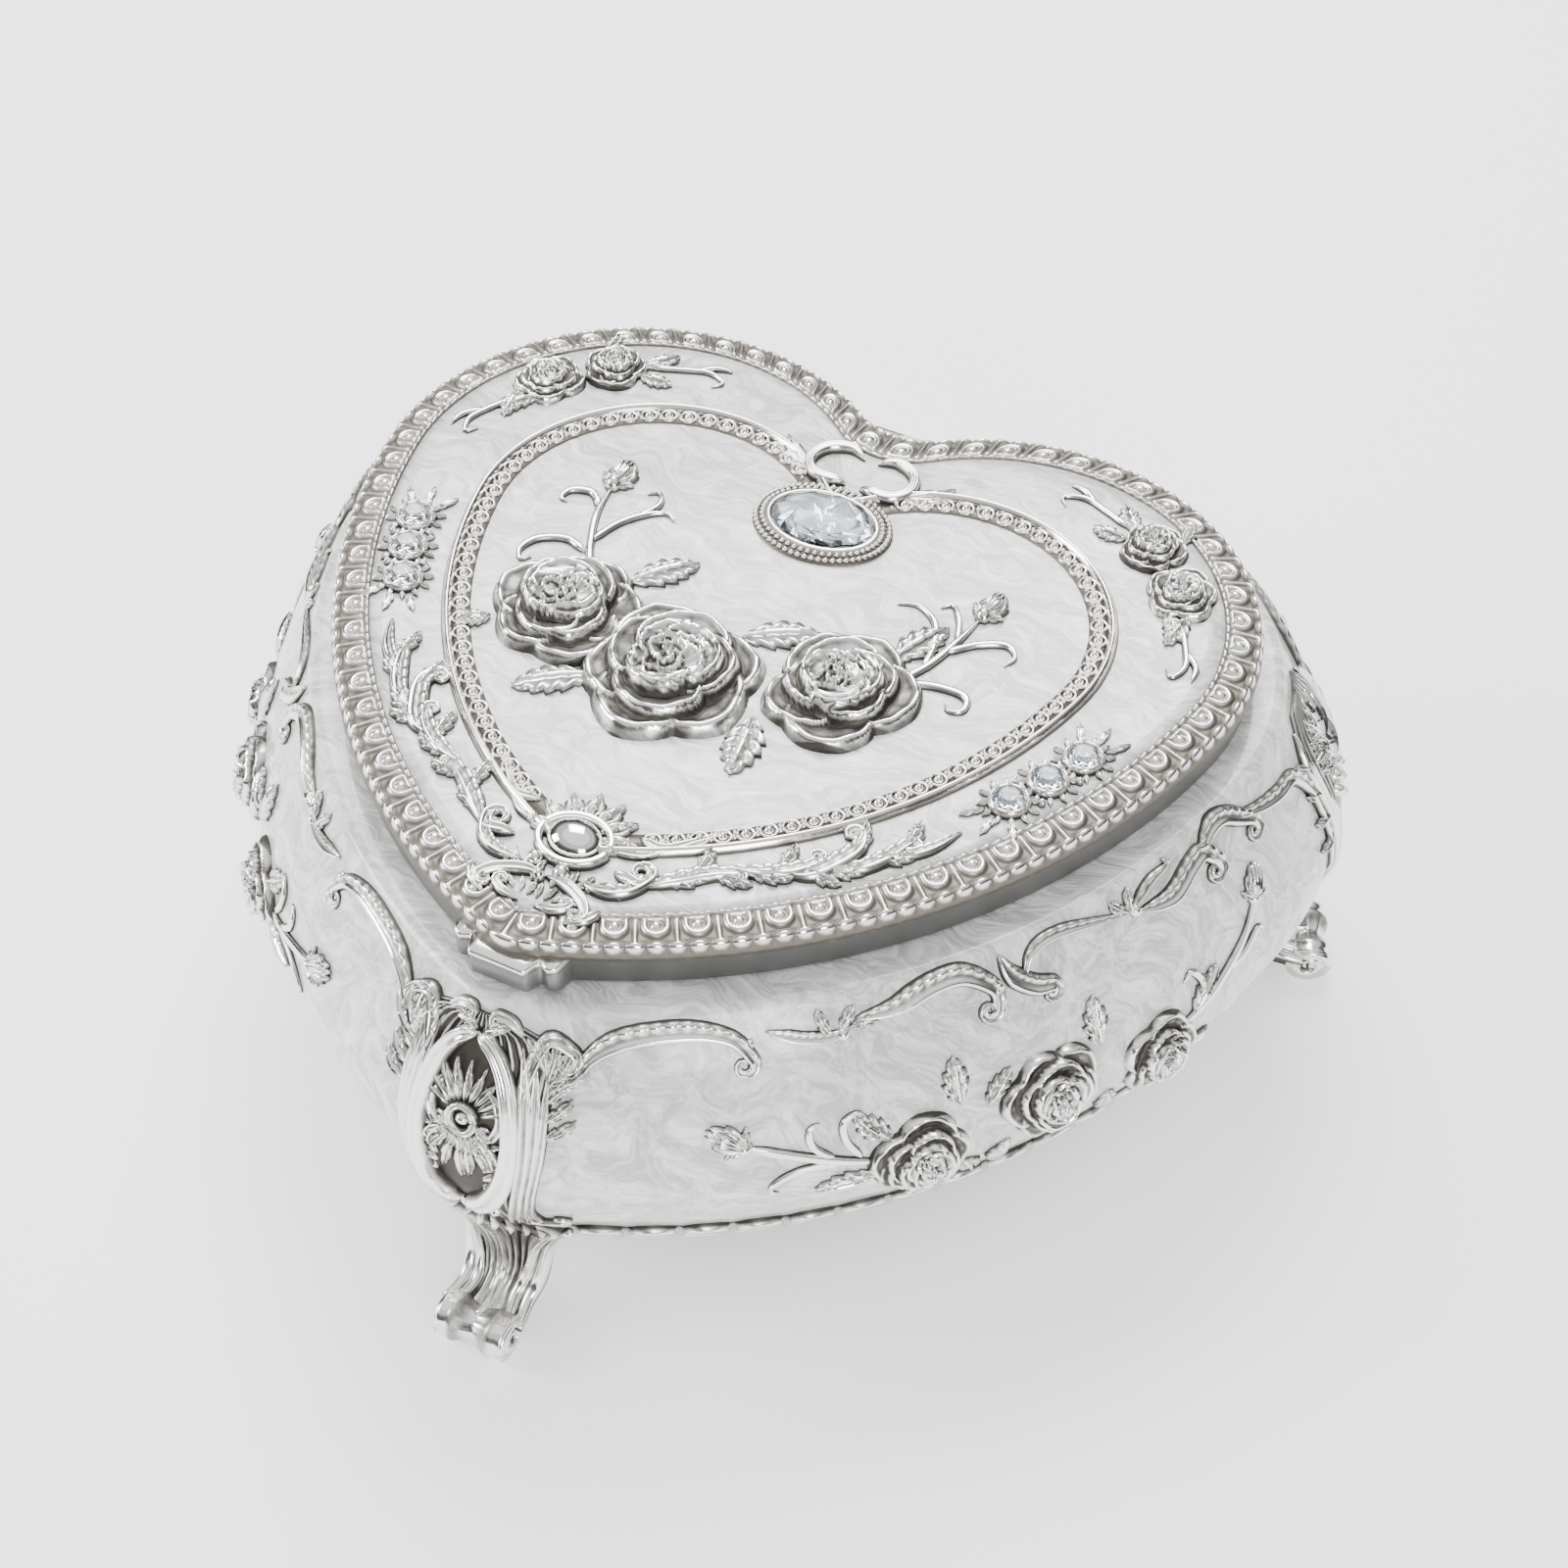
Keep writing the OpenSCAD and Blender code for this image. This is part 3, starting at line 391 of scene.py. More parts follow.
strokes.links.new(swirl_push.outputs[0], swirl_flat.inputs["Vector"])
broad = noise(strokes, swirl_flat.outputs[0], 1.0, 3.0, 0.6)
fine = noise(strokes, swirl_flat.outputs[0], 3.4, 4.0, 0.8)
strokes.links.new(ramp(strokes, broad, 0.40, 0.62), strokes_out.inputs["Stroke"])
strokes.links.new(ramp(strokes, fine, 0.43, 0.60), strokes_out.inputs["Fine"])


def enamel_material(name, scale, dark, light):
    """Pearl enamel: white glass over silver, with brushed mica strokes in colour, gloss and level."""
    material, tree, bsdf, place = shader(name, roughness=0.34, Coat_Weight=0.75, Coat_Roughness=0.08,
                                         Coat_IOR=1.5)
    group = tree.nodes.new("ShaderNodeGroup")
    group.node_tree = strokes
    group.inputs["Scale"].default_value = scale
    tree.links.new(place, group.inputs["Place"])
    both = math_node(tree, "MULTIPLY_ADD", group.outputs["Fine"], 0.45)
    both.node.inputs[2].default_value = 0.0
    share = math_node(tree, "ADD", both, math_node(tree, "MULTIPLY", group.outputs["Stroke"], 0.55))
    tree.links.new(mix_colour(tree, share, dark, light), bsdf.inputs["Base Color"])
    tree.links.new(ramp(tree, share, 0.1, 0.9, 0.42, 0.26), bsdf.inputs["Roughness"])
    put_bump(tree, bsdf, share, 0.4, 0.00025)
    return material


case_enamel = enamel_material("case_enamel", 190.0, (0.50, 0.50, 0.495), (0.95, 0.95, 0.94))

# Edge wear and painted shade: bright plate on the high points, black antiquing and painted shade in the recesses
antique_and_shade, antique_and_shade_in, antique_and_shade_out = node_group(
    "antiquing_and_painted_shade", [("Place", "v"), ("Wear_and_shade", "f"), ("Bright", "c"), ("Dark", "c"), ("Grain", "f")],
    [("Colour", "c"), ("Roughness", "f"), ("Height", "f")])
speck_place = antique_and_shade.nodes.new("ShaderNodeVectorMath")
speck_place.operation = "SCALE"
antique_and_shade.links.new(antique_and_shade_in.outputs["Place"], speck_place.inputs[0])
antique_and_shade.links.new(antique_and_shade_in.outputs["Grain"], speck_place.inputs["Scale"])
speck = noise(antique_and_shade, speck_place.outputs[0], 1.0, 4.0, 0.3)
cloud = noise(antique_and_shade, speck_place.outputs[0], 0.22, 2.0, 0.5)
uneven = math_node(antique_and_shade, "ADD", math_node(antique_and_shade, "MULTIPLY", speck, 0.5),
                   math_node(antique_and_shade, "MULTIPLY", cloud, 0.5))
level = math_node(antique_and_shade, "ADD", antique_and_shade_in.outputs["Wear_and_shade"],
                  math_node(antique_and_shade, "MULTIPLY", math_node(antique_and_shade, "SUBTRACT", uneven, 0.5), 0.55))
# Low values mix towards the dark colour: painted shade in the recesses, together with the black antiquing
share = ramp(antique_and_shade, level, 0.22, 0.80)
antique_and_shade.links.new(mix_colour(antique_and_shade, share, antique_and_shade_in.outputs["Dark"], antique_and_shade_in.outputs["Bright"]),
                  antique_and_shade_out.inputs["Colour"])
antique_and_shade.links.new(math_node(antique_and_shade, "ADD", ramp(antique_and_shade, share, 0.0, 1.0, 0.45, 0.11),
                            math_node(antique_and_shade, "MULTIPLY", speck, 0.12)), antique_and_shade_out.inputs["Roughness"])
antique_and_shade.links.new(uneven, antique_and_shade_out.inputs["Height"])


def silver_material(name, grain=900.0, bright=(0.90, 0.89, 0.865), dark=(0.075, 0.07, 0.062)):
    """Silver plate over cast zinc, worn bright on the high points, and painted dark, as antiquing and painted
    shade, where the piece's wear value is low."""
    material, tree, bsdf, place = shader(name, metallic=1.0, roughness=0.22)
    group = tree.nodes.new("ShaderNodeGroup")
    group.node_tree = antique_and_shade
    group.inputs["Bright"].default_value = (*bright, 1)
    group.inputs["Dark"].default_value = (*dark, 1)
    group.inputs["Grain"].default_value = grain
    wear_and_shade = tree.nodes.new("ShaderNodeAttribute")
    wear_and_shade.attribute_name = "wear_and_shade"
    tree.links.new(place, group.inputs["Place"])
    tree.links.new(wear_and_shade.outputs["Fac"], group.inputs["Wear_and_shade"])
    tree.links.new(group.outputs["Colour"], bsdf.inputs["Base Color"])
    tree.links.new(group.outputs["Roughness"], bsdf.inputs["Roughness"])
    put_bump(tree, bsdf, group.outputs["Height"], 0.35, 0.00012)
    return material


silver = silver_material("antique_silver")
round_way = lengths(OUTLINE, CASE_AT)
WAY = round_way[-1]
ways = np.linspace(-WAY, WAY, 521)[:-1]


def heart_rings(rings, at=CASE_AT, stations=None):
    """A wall carried round the heart: each ring is an offset and a height, at every station of the way."""
    stations = ways if stations is None else stations
    rings = np.asarray(rings, float)
    x, y, _, _ = heart(stations[:, None], rings[None, :, 0], at)
    return xyz(x, y + SHIFT_Y, np.broadcast_to(rings[:, 1], x.shape))


outer_z = np.concatenate([np.linspace(RIM_Z - 0.25, BELLY_Z, 26), np.linspace(BELLY_Z, BASE_Z + 0.3, 26)[1:]])
outer = [(float(case_out(z)), z) for z in outer_z]
rim_edge = [(0.3 - MOUTH_IN, RIM_Z), (RIM_OUT - 0.9, RIM_Z), (RIM_OUT - 0.3, RIM_Z - 0.04), (RIM_OUT - 0.03, RIM_Z - 0.15)]
inner_z = np.linspace(BASE_Z, FLANGE_Z, 5)
under = [(-BASE_IN - 0.5, BASE_Z)] + [(float(case_out(z)) - WALL, z) for z in inner_z]
ledge_z = FLANGE_Z + FLANGE_T
flange = [(-FLANGE_IN, FLANGE_Z), (-FLANGE_IN, ledge_z)]
inner = [(float(case_out(z)) - WALL, z) for z in np.linspace(ledge_z, RIM_Z - WALL, 22)]
mouth = [(-MOUTH_IN, RIM_Z - WALL), (-MOUTH_IN, RIM_Z)]
enamelled = grid_part(heart_rings(rim_edge + outer), close_rows=True)
plated = grid_part(heart_rings(outer[-1:] + under + flange + inner + mouth + rim_edge[:1]), close_rows=True,
                   wear_and_shade=0.55, skin=1)
make_piece("case_shell", [enamelled, plated], [case_enamel, silver], "case", ["body_shell"])


# ---- Relief: the leaves, scrolls, beads and roses that are cast in one with the case and the lid ----
# Each ornament is a closed swelling, drawn flat as across, up and height, and then laid on the case's
# wall or on the lid. High points are polished bright, and the hollows get black antiquing and painted shade.
SINK = 0.35


def swelling(top, wear_and_shade):
    """A closed lump under a top grid of (across, up, height): its underside has the same outline, sunk a
    little into the ground."""
    top = np.asarray(top, float)
    under = top.copy()
    under[..., 2] = -SINK
    loop = np.concatenate([top, under[..., ::-1, :]], -2)
    shade = np.concatenate([wear_and_shade, np.zeros_like(wear_and_shade)], -1)
    first, last = loop[..., :1, :, :].copy(), loop[..., -1:, :, :].copy()
    first[..., :, :, :] = first.mean(-2, keepdims=True)
    last[..., :, :, :] = last.mean(-2, keepdims=True)
    loop = np.concatenate([first, loop, last], -3)
    shade = np.concatenate([shade[..., :1, :], shade, shade[..., -1:, :]], -2)
    return grid_part(loop, close_columns=True, wear_and_shade=shade)


def laid(parts, at=(0.0, 0.0), turn=0.0, size=1.0, flip=False, lift=0.0):
    """Ornament parts turned, sized and moved on the flat drawing. flip mirrors them first."""
    turn = math.radians(turn)
    done = []
    for points, rows, columns, wear_and_shade, skin in parts:
        a, b = points[..., 0] * (-size if flip else size), points[..., 1] * size
        moved = xyz(a * math.cos(turn) - b * math.sin(turn) + at[0],
                          a * math.sin(turn) + b * math.cos(turn) + at[1], points[..., 2] * size + lift)
        done.append((moved, rows, columns, wear_and_shade, skin))
    return done


def mirrored(parts):
    """The parts and their mirror images about the box's centre line."""
    other = [(p * np.array([-1.0, 1.0, 1.0]), r, c, w, s) for p, r, c, w, s in parts]
    return list(parts) + other


def mapped(parts, surface):
    """The parts taken from the flat drawing onto a surface."""
    return [(surface(p), r, c, w, s) for p, r, c, w, s in parts]


def bell(x, wide):
    """A smooth bump of height 1 at x = 0."""
    return np.exp(-(x / wide) ** 2)


def leaf(length, width, height=1.1, bend=0.0, teeth=4, rows=26, columns=13):
    """A toothed leaf along +up: its half width is a sine hump times a saw, its centre line an arc that
    turns by bend degrees, and its level a dome with a midrib and a vein to each tooth."""
    u, v = np.linspace(0, 1, rows)[:, None], np.linspace(-1, 1, columns)[None, :]
    saw = (teeth * u + 0.35) % 1
    half = width / 2 * np.sin(np.pi * np.clip(u, 0.01, 0.995) ** 0.8) ** 0.75 * (0.66 + 0.34 * saw)
    swing = math.radians(bend + 0.01) * u
    spine_a, spine_b = length / swing[-1] * (1 - np.cos(swing)), length / swing[-1] * np.sin(swing)
    back = 0.35 * half * np.abs(v)
    a = spine_a + v * half * np.cos(swing) + back * np.sin(swing)
    b = spine_b - v * half * np.sin(swing) + back * np.cos(swing)
    vein = np.cos(2 * np.pi * (teeth * u + 0.35 - 0.55 * np.abs(v)))
    level = 0.55 + 0.45 * bell(v, 0.16) + 0.2 * vein * np.abs(v) - 0.25 * v ** 4 - 0.35 * bell(np.abs(v) - 0.3, 0.14)
    h = height * level * (0.35 + 0.65 * np.sin(np.pi * np.clip(u, 0.02, 0.98)) ** 0.5)
    # Wear value from the leaf's level: painted shade where the leaf lies low, bright where it stands high
    wear_and_shade = np.clip(0.15 + 0.95 * level + 0 * u, 0, 1)
    return [swelling(xyz(a, b, h), wear_and_shade)]


def smooth_path(points, count):
    """count points, evenly spaced, on a Catmull-Rom curve through the given ones."""
    p = np.asarray(points, float)
    p = np.concatenate([[2 * p[0] - p[1]], p, [2 * p[-1] - p[-2]]])
    t = np.linspace(0, 1, 24, endpoint=False)[:, None]
    legs = []
    for a, b, c, d in zip(p[:-3], p[1:-2], p[2:-1], p[3:]):
        legs.append(0.5 * (2 * b + (c - a) * t + (2 * a - 5 * b + 4 * c - d) * t ** 2
                           + (3 * b - a - 3 * c + d) * t ** 3))
    line = np.concatenate(legs + [p[-2:-1]])
    gone = np.concatenate([[0], np.cumsum(np.linalg.norm(np.diff(line, axis=0), axis=1))])
    even = np.linspace(0, gone[-1], count)
    return np.stack([np.interp(even, gone, line[:, k]) for k in range(2)], 1)


def rolled(points, radius, side, turns=1.15):
    """The points of a path with a volute added at its end: a spiral that closes in on its eye."""
    points = np.asarray(points, float)
    way = points[-1] - points[-2]
    way = way / np.linalg.norm(way)
    normal = np.array([-way[1], way[0]]) * side
    start = math.atan2(-normal[1], -normal[0])
    t = np.linspace(0.12, 1, 11)
    r, turn = radius * (1 - 0.72 * t), start + side * 2 * np.pi * turns * t
    eye = points[-1] + normal * radius
    return np.concatenate([points, eye + np.stack([r * np.cos(turn), r * np.sin(turn)], 1)])


def scroll(points, width, height, taper=(0.25, 0.5), ribs=0, hollow=0.55, columns=9, rows=None):
    """A ribbon along a smooth path: two rounded ridges beside a hollow, wide in the middle and tapered
    towards each end. ribs cuts that many notches across it."""
    points = np.asarray(points, float)
    run = np.linalg.norm(np.diff(points, axis=0), axis=1).sum()
    rows = rows or int(np.clip(run * 2.2, 16, 170))
    line = smooth_path(points, rows)
    way = np.gradient(line, axis=0)
    way /= np.linalg.norm(way, axis=1, keepdims=True) + 1e-9
    u, v = np.linspace(0, 1, rows)[:, None], np.linspace(-1, 1, columns)[None, :]
    swell = np.minimum(u / taper[0], 1) ** 0.7 * np.minimum((1 - u) / taper[1], 1) ** 0.7 + 0.12
    half = width / 2 * swell
    a = line[:, :1] - way[:, 1:] * half * v
    b = line[:, 1:] + way[:, :1] * half * v
    level = np.sqrt(np.clip(1 - v ** 2, 0, 1)) ** 0.8 * (1 - hollow * bell(v, 0.34))
    notch = 1 - 0.35 * (0.5 + 0.5 * np.cos(2 * np.pi * ribs * u)) * (v > 0.1) if ribs else 1.0
    h = height * level * notch * swell ** 0.5
    # Wear value from the ribbon's level: painted shade in its hollow and notches, bright on its ridges
    wear_and_shade = np.clip(1.25 * level * notch - 0.15 + 0 * u, 0, 1)
    return [swelling(xyz(a, b, h), wear_and_shade)]


def bead(centres, radius, height=None, segments=8):
    """Small domes with a flat underside at each centre, from four rings of a few points each."""
    centres = np.asarray(centres, float).reshape(-1, 2)
    radius = np.broadcast_to(np.asarray(radius, float), len(centres))[:, None, None]
    tall = radius if height is None else height * np.ones_like(radius)
    lat = np.radians([90, 55, 20, 0])[None, :, None]
    lon = np.linspace(0, 2 * np.pi, segments, endpoint=False)[None, None, :]
    ring = np.cos(lat) * np.ones_like(lon)
    a = centres[:, 0, None, None] + radius * ring * np.cos(lon)
    b = centres[:, 1, None, None] + radius * ring * np.sin(lon)
    h = tall * np.sin(lat) * np.ones_like(lon) + 0 * a
    top = xyz(a, b, h)
    foot = top[:, -1:].copy()
    foot[..., 2] = -SINK
    close = foot.copy()
    close[..., 0], close[..., 1] = centres[:, 0, None, None], centres[:, 1, None, None]
    # Wear value by ring: bright on the dome, painted shade round its foot
    wear_and_shade = np.array([1, 1, 0.6, 0.15, 0, 0])[None, :, None] * np.ones((len(centres), 1, segments))
    return [grid_part(np.concatenate([top, foot, close], 1), close_columns=True, wear_and_shade=wear_and_shade)]


def rose(radius, tall, turn=0.0, seed=0, rings=46, spokes=112):
    """A full-blown rose as one closed lump. Its level is that of the highest petal at each place. Broad
    petals with folded, pointed lips lie round standing ones, which cup a crumpled spiral heart."""
    chance = np.random.default_rng(seed)
    r = np.linspace(0, 1.12, rings)[None, :]
    phi = np.linspace(0, 2 * np.pi, spokes, endpoint=False)[:, None]
    level = np.full((spokes, rings), -1.0)
    for ring, (count, lip_r, hollow, lip, fold) in enumerate(
            [(5, 1.0, 0.02, 0.36, 0.05), (4, 0.74, 0.22, 0.64, 0.05), (3, 0.53, 0.50, 0.92, 0.04)]):
        for k in range(count):
            at = math.radians(turn + 41 * ring) + 2 * np.pi * (k + 0.22 * chance.uniform(-1, 1)) / count
            u = ((phi - at + np.pi) % (2 * np.pi) - np.pi) * count / (1.42 * np.pi)
            lean = u + 0.25 * chance.uniform(-1, 1)
            edge = lip_r * (1 + 0.08 * chance.uniform(-1, 1)) * (1.03 - 0.23 * np.abs(lean) ** 1.15 - 0.14 * u ** 8)
            t = r / edge
            dish = hollow + (lip - hollow) * np.clip(t, 0, 1) ** 1.9 + fold * bell(t - 0.955, 0.035)
            dish = dish + 0.02 * np.cos(5 * np.pi * lean) * t
            wall = lip * (1 - np.clip(t - 1, 0, 1) / (0.08 + 0.04 * ring))
            petal = np.where(t < 1, dish, wall) * (1 - 0.10 * u ** 2 + 0.09 * u + 0.05 * chance.uniform(-1, 1))
            level = np.maximum(level, np.where(np.abs(u) < 1, petal, -1.0))
    bent = phi + 0.5 * np.sin(2 * phi + seed)
    arms = (3 * bent / (2 * np.pi) + r / 0.17 + 0.3 * np.sin(2 * phi + 11 * r)) % 1
    cross = (4 * phi / (2 * np.pi) - r / 0.21 + 0.2 * np.sin(3 * phi + seed)) % 1
    folds = 0.66 + 0.22 * arms ** 1.5 + 0.16 * cross ** 2
    level = np.maximum(level, np.where(r < 0.43, folds, -1.0))
    level[:, 0] = 0.9
    # Wear value from the level against its neighbours, like ambient occlusion: painted shade in the folds between
    # petals, bright on their lips
    around = sum(np.roll(level, k, axis=0) for k in (-4, -2, 2, 4)) / 4
    inward = np.roll(level, 2, axis=1)
    outward = np.roll(level, -2, axis=1)
    wear_and_shade = np.clip(0.30 + 4.2 * (level - (around + inward + outward) / 3) + 0.30 * level, 0, 1)
    height = np.maximum(level * tall, -SINK)
    height[:, -1] = -SINK
    points = xyz(radius * r * np.cos(phi), radius * r * np.sin(phi), height)
    points = np.concatenate([points, points[:, :1] * [1, 1, 0] + [0, 0, -SINK]], 1)
    return [grid_part(points, close_rows=True, wear_and_shade=np.concatenate([wear_and_shade, 0 * wear_and_shade[:, :1]], 1))]


def bud(length, width, tall):
    """A rosebud along +up: three folded petals in a cup of sepals."""
    parts = []
    for lean, long, wide in ((-20, 0.95, 0.62), (20, 0.95, 0.62), (0, 1.0, 0.58)):
        parts += laid(leaf(length * long, width * wide, tall, bend=-lean * 0.8, teeth=1), turn=-lean * 0.8)
    for lean in (-48, 48):
        parts += laid(leaf(length * 0.55, width * 0.3, tall * 0.7, bend=lean * 0.5, teeth=1), turn=-lean)
    return parts + bead([[0, 0.06 * length]], width * 0.24, tall * 0.9)


def spray_leaf(at, turn, length=7.5, width=4.4, tall=1.1, bend=14.0, teeth=4):
    """A leaf put down with its stem at a point."""
    return laid(leaf(length, width, tall, bend, teeth), at, turn)


# ---- Case relief: ribbons, garlands, the tip cartouche, the lobe acanthus and the base border ------
# All of it is cast in one with the shell and silver plated. The ribbons run round under the lid in
# C and S scrolls, and a garland of three roses hangs across the belly on each side of the tip.
def on_wall(points):
    """Given (way, height) points as (way, distance up the wall)."""
    points = np.asarray(points, float)
    return np.stack([points[:, 0], rise_of(points[:, 1])], 1)


def wall_at(way, z):
    """One (way, height) place as (way, distance up the wall)."""
    return way, float(rise_of(z))


ribbons = []
for path, wide, tall, roll in [
        ([(11.5, 45.5), (13.2, 48.8), (17.5, 51.0), (24.5, 51.6), (29.5, 50.6), (31.8, 48.4)], 2.6, 1.15, (1.3, -1)),
        ([(33.5, 50.8), (38.0, 49.6), (42.0, 49.4), (44.8, 50.4)], 1.5, 0.9, None),
        ([(44.0, 50.6), (48.5, 50.8), (53.5, 52.0), (57.6, 51.9), (61.0, 49.6), (61.2, 47.6)], 2.7, 1.2, (1.3, -1)),
        ([(62.4, 52.4), (63.6, 50.0), (66.0, 48.2), (68.2, 47.6)], 2.5, 1.15, (1.0, -1)),
        ([(64.8, 49.0), (66.6, 51.6), (71.0, 52.2), (80.5, 50.3)], 1.5, 0.9, None),
        ([(81.0, 50.3), (84.6, 51.8), (88.0, 52.4), (87.4, 53.2)], 1.7, 1.0, None),
        ([(82.0, 49.8), (87.0, 49.2), (91.0, 50.6), (93.6, 51.0), (95.6, 49.2)], 2.6, 1.2, (1.4, -1)),
        ([(92.5, 49.9), (95.5, 52.4), (98.5, 52.6), (101.4, 51.0), (103.5, 49.6)], 2.4, 1.1, (1.3, -1)),
        ([(133.5, 44.5), (135.5, 48.5), (140.5, 51.2), (148.0, 51.6), (153.5, 50.4), (156.0, 48.2)], 2.6, 1.15, (1.3, -1)),
        ([(155.5, 50.8), (161.0, 49.4), (166.0, 49.6), (170.0, 50.6)], 1.5, 0.9, None),
        ([(169.0, 50.6), (174.5, 51.6), (180.5, 51.9), (186.0, 50.2), (187.5, 47.8)], 2.6, 1.15, (1.3, -1)),
        ([(186.5, 51.0), (191.0, 49.4), (195.5, 49.0)], 1.7, 1.0, None),
        ([(98.0, 52.4), (104.0, 50.4), (109.0, 49.2), (113.5, 48.4), (116.2, 45.0), (117.4, 39.0),
          (118.6, 31.0), (120.0, 24.0)], 2.0, 1.0, None)]:
    line = on_wall(path)
    ribbons += scroll(rolled(line, *roll) if roll else line, wide, tall, ribs=int(3 * len(path)))
for way, z, turn in [(40.8, 49.6, 35), (42.2, 49.6, -20), (43.4, 49.9, -75), (164.0, 49.4, 35), (165.4, 49.4, -20), (80.6, 50.3, 60), (81.0, 50.0, 10)]:
    ribbons += laid(leaf(3.4, 1.7, 1.1, 30, 2), wall_at(way, z), turn)
for way, z, radius in [(31.6, 49.8, 0.6), (61.3, 49.1, 0.65), (42.3, 49.3, 0.9), (81.6, 50.1, 0.9), (95.2, 49.9, 0.6)]:
    ribbons += bead([wall_at(way, z)], radius)
make_piece("case_ribbons", mapped(mirrored(ribbons), on_case), [silver], "case")

garland = []
for way, z, radius, tall, turn, seed in [(49.8, 32.4, 5.6, 3.1, 10, 1), (65.7, 35.0, 5.9, 3.3, 40, 2),
                                         (80.7, 31.8, 5.2, 3.0, 75, 3), (166.0, 33.6, 5.6, 3.1, 20, 4)]:
    garland += laid(rose(radius, tall, turn, seed, 38, 88), wall_at(way, z))
for path, wide, tall in [([(30.0, 38.6), (35.5, 36.6), (41.0, 34.6), (46.5, 33.0)], 1.1, 0.7),
                         ([(40.2, 35.0), (37.6, 37.4), (37.4, 39.6), (38.6, 40.2)], 0.9, 0.6),
                         ([(43.2, 34.4), (41.4, 37.2), (41.2, 39.6), (42.8, 40.6), (43.8, 39.8)], 0.9, 0.6),
                         ([(41.0, 34.4), (36.5, 34.4), (33.6, 33.0), (32.8, 31.6), (33.8, 31.0)], 0.9, 0.6),
                         ([(161.0, 33.6), (155.5, 35.4), (150.0, 38.4), (147.4, 42.2)], 1.1, 0.7),
                         ([(171.0, 33.6), (176.5, 35.0), (182.0, 38.0), (184.6, 41.6)], 1.1, 0.7),
                         ([(156.5, 35.0), (156.0, 38.2), (154.4, 40.0), (153.2, 39.2)], 0.9, 0.6),
                         ([(84.0, 33.6), (88.5, 34.8), (92.5, 37.0), (96.2, 39.4), (99.0, 42.6)], 1.1, 0.7),
                         ([(88.5, 35.0), (88.0, 38.2), (86.6, 40.0), (85.4, 39.2)], 0.9, 0.6),
                         ([(92.0, 36.8), (95.4, 37.0), (98.4, 38.6), (99.6, 37.4)], 0.9, 0.6)]:
    garland += scroll(on_wall(path), wide, tall, taper=(0.15, 0.35), hollow=0.2)
garland += laid(bud(5.2, 4.2, 1.5), wall_at(30.4, 38.4), 58)
garland += laid(bud(4.6, 3.4, 1.4), wall_at(98.6, 42.2), -25)
garland += laid(bud(4.6, 3.4, 1.4), wall_at(147.6, 41.8), 25) + laid(bud(4.6, 3.4, 1.4), wall_at(184.4, 41.2), -25)
for way, z, turn, length in [(54.6, 38.2, 8, 6.4), (72.6, 38.2, 6, 6.6), (46.6, 36.4, 52, 6.0), (57.8, 37.0, -35, 5.0),
                             (44.6, 31.6, 104, 7.0), (55.4, 27.6, -150, 5.6), (73.8, 29.6, -165, 5.6),
                             (86.4, 34.6, -40, 6.0), (162.4, 37.0, 40, 6.0), (169.6, 37.0, -40, 6.0), (162.0, 30.0, 130, 6.0),
                             (170.0, 30.0, -130, 6.0), (60.6, 29.6, 170, 5.4), (86.0, 29.4, -115, 5.4)]:
    garland += spray_leaf(wall_at(way, z), turn, length, length * 0.55, 1.3)
make_piece("case_garlands", mapped(mirrored(garland), on_case), [silver], "case")



def ground(middle, borders, flutes, tall=0.55, oval=None):
    """A plated field in the enamel, between listed (height, half width) borders: low upright flutes that
    die out at its edge, and in an oval (middle height, half width, half height) where it is bare."""
    borders = np.asarray(borders, float)
    z = np.linspace(borders[0, 0], borders[-1, 0], 70)[:, None]
    u = np.linspace(-1, 1, flutes * 8 + 1)[None, :]
    way = middle + np.interp(z, borders[:, 0], borders[:, 1]) * u
    wave = 0.5 + 0.5 * np.cos(np.pi * flutes * u + 0.5 * np.sin(z / 2.3))
    h = tall * (0.6 + 0.7 * wave) * (1 - np.abs(u) ** 10) + 0 * z
    # Wear value from the flutes: painted shade between them
    wear_and_shade = 0.04 + 0.50 * wave + 0 * z
    if oval:
        bare = np.hypot((way - middle) / oval[1], (z - oval[0]) / oval[2]) < 1
        h, wear_and_shade = np.where(bare, 0.22, h), np.where(bare, 0.0, wear_and_shade)
    return [swelling(xyz(way, rise_of(z) + 0 * u, h), wear_and_shade)]


# The cartouche: an eye in an oval shell, under a hood, between two frames that run down to the foot
cartouche = ground(0.0, [(12.5, 12.0), (17, 9.6), (22, 7.6), (27, 6.8), (32, 7.2), (38, 8.0), (44, 9.4),
                        (48, 10.6), (50.5, 9.0), (52.4, 4.0)], 17, oval=(39.5, 5.0, 11.5))
eye = wall_at(0.0, 40.8)
t = np.linspace(0, 2 * np.pi, 25)
cartouche += scroll(np.stack([eye[0] + 1.35 * np.cos(t), eye[1] + 1.7 * np.sin(t)], 1), 0.8, 1.5, (0.01, 0.01), rows=40)
cartouche += bead([eye], 0.85, 1.2, 12)
for k, angle in enumerate(np.linspace(-62, 62, 9)):
    reach = 3.2 + 1.1 * math.cos(math.radians(angle))
    start = (eye[0] + 2.0 * math.sin(math.radians(angle)), eye[1] + 2.3 * math.cos(math.radians(angle)))
    cartouche += laid(leaf(reach * 1.2, 1.05, 1.6, angle * 0.2, 1), start, -angle)
for k, angle in enumerate(np.linspace(118, 242, 9)):
    start = (eye[0] + 1.9 * math.sin(math.radians(angle)), eye[1] + 2.2 * math.cos(math.radians(angle)))
    cartouche += laid(leaf(5.6 - 0.0011 * (angle - 180) ** 2, 1.3, 1.6, 14 if angle < 180 else -14, 2), start, -angle)
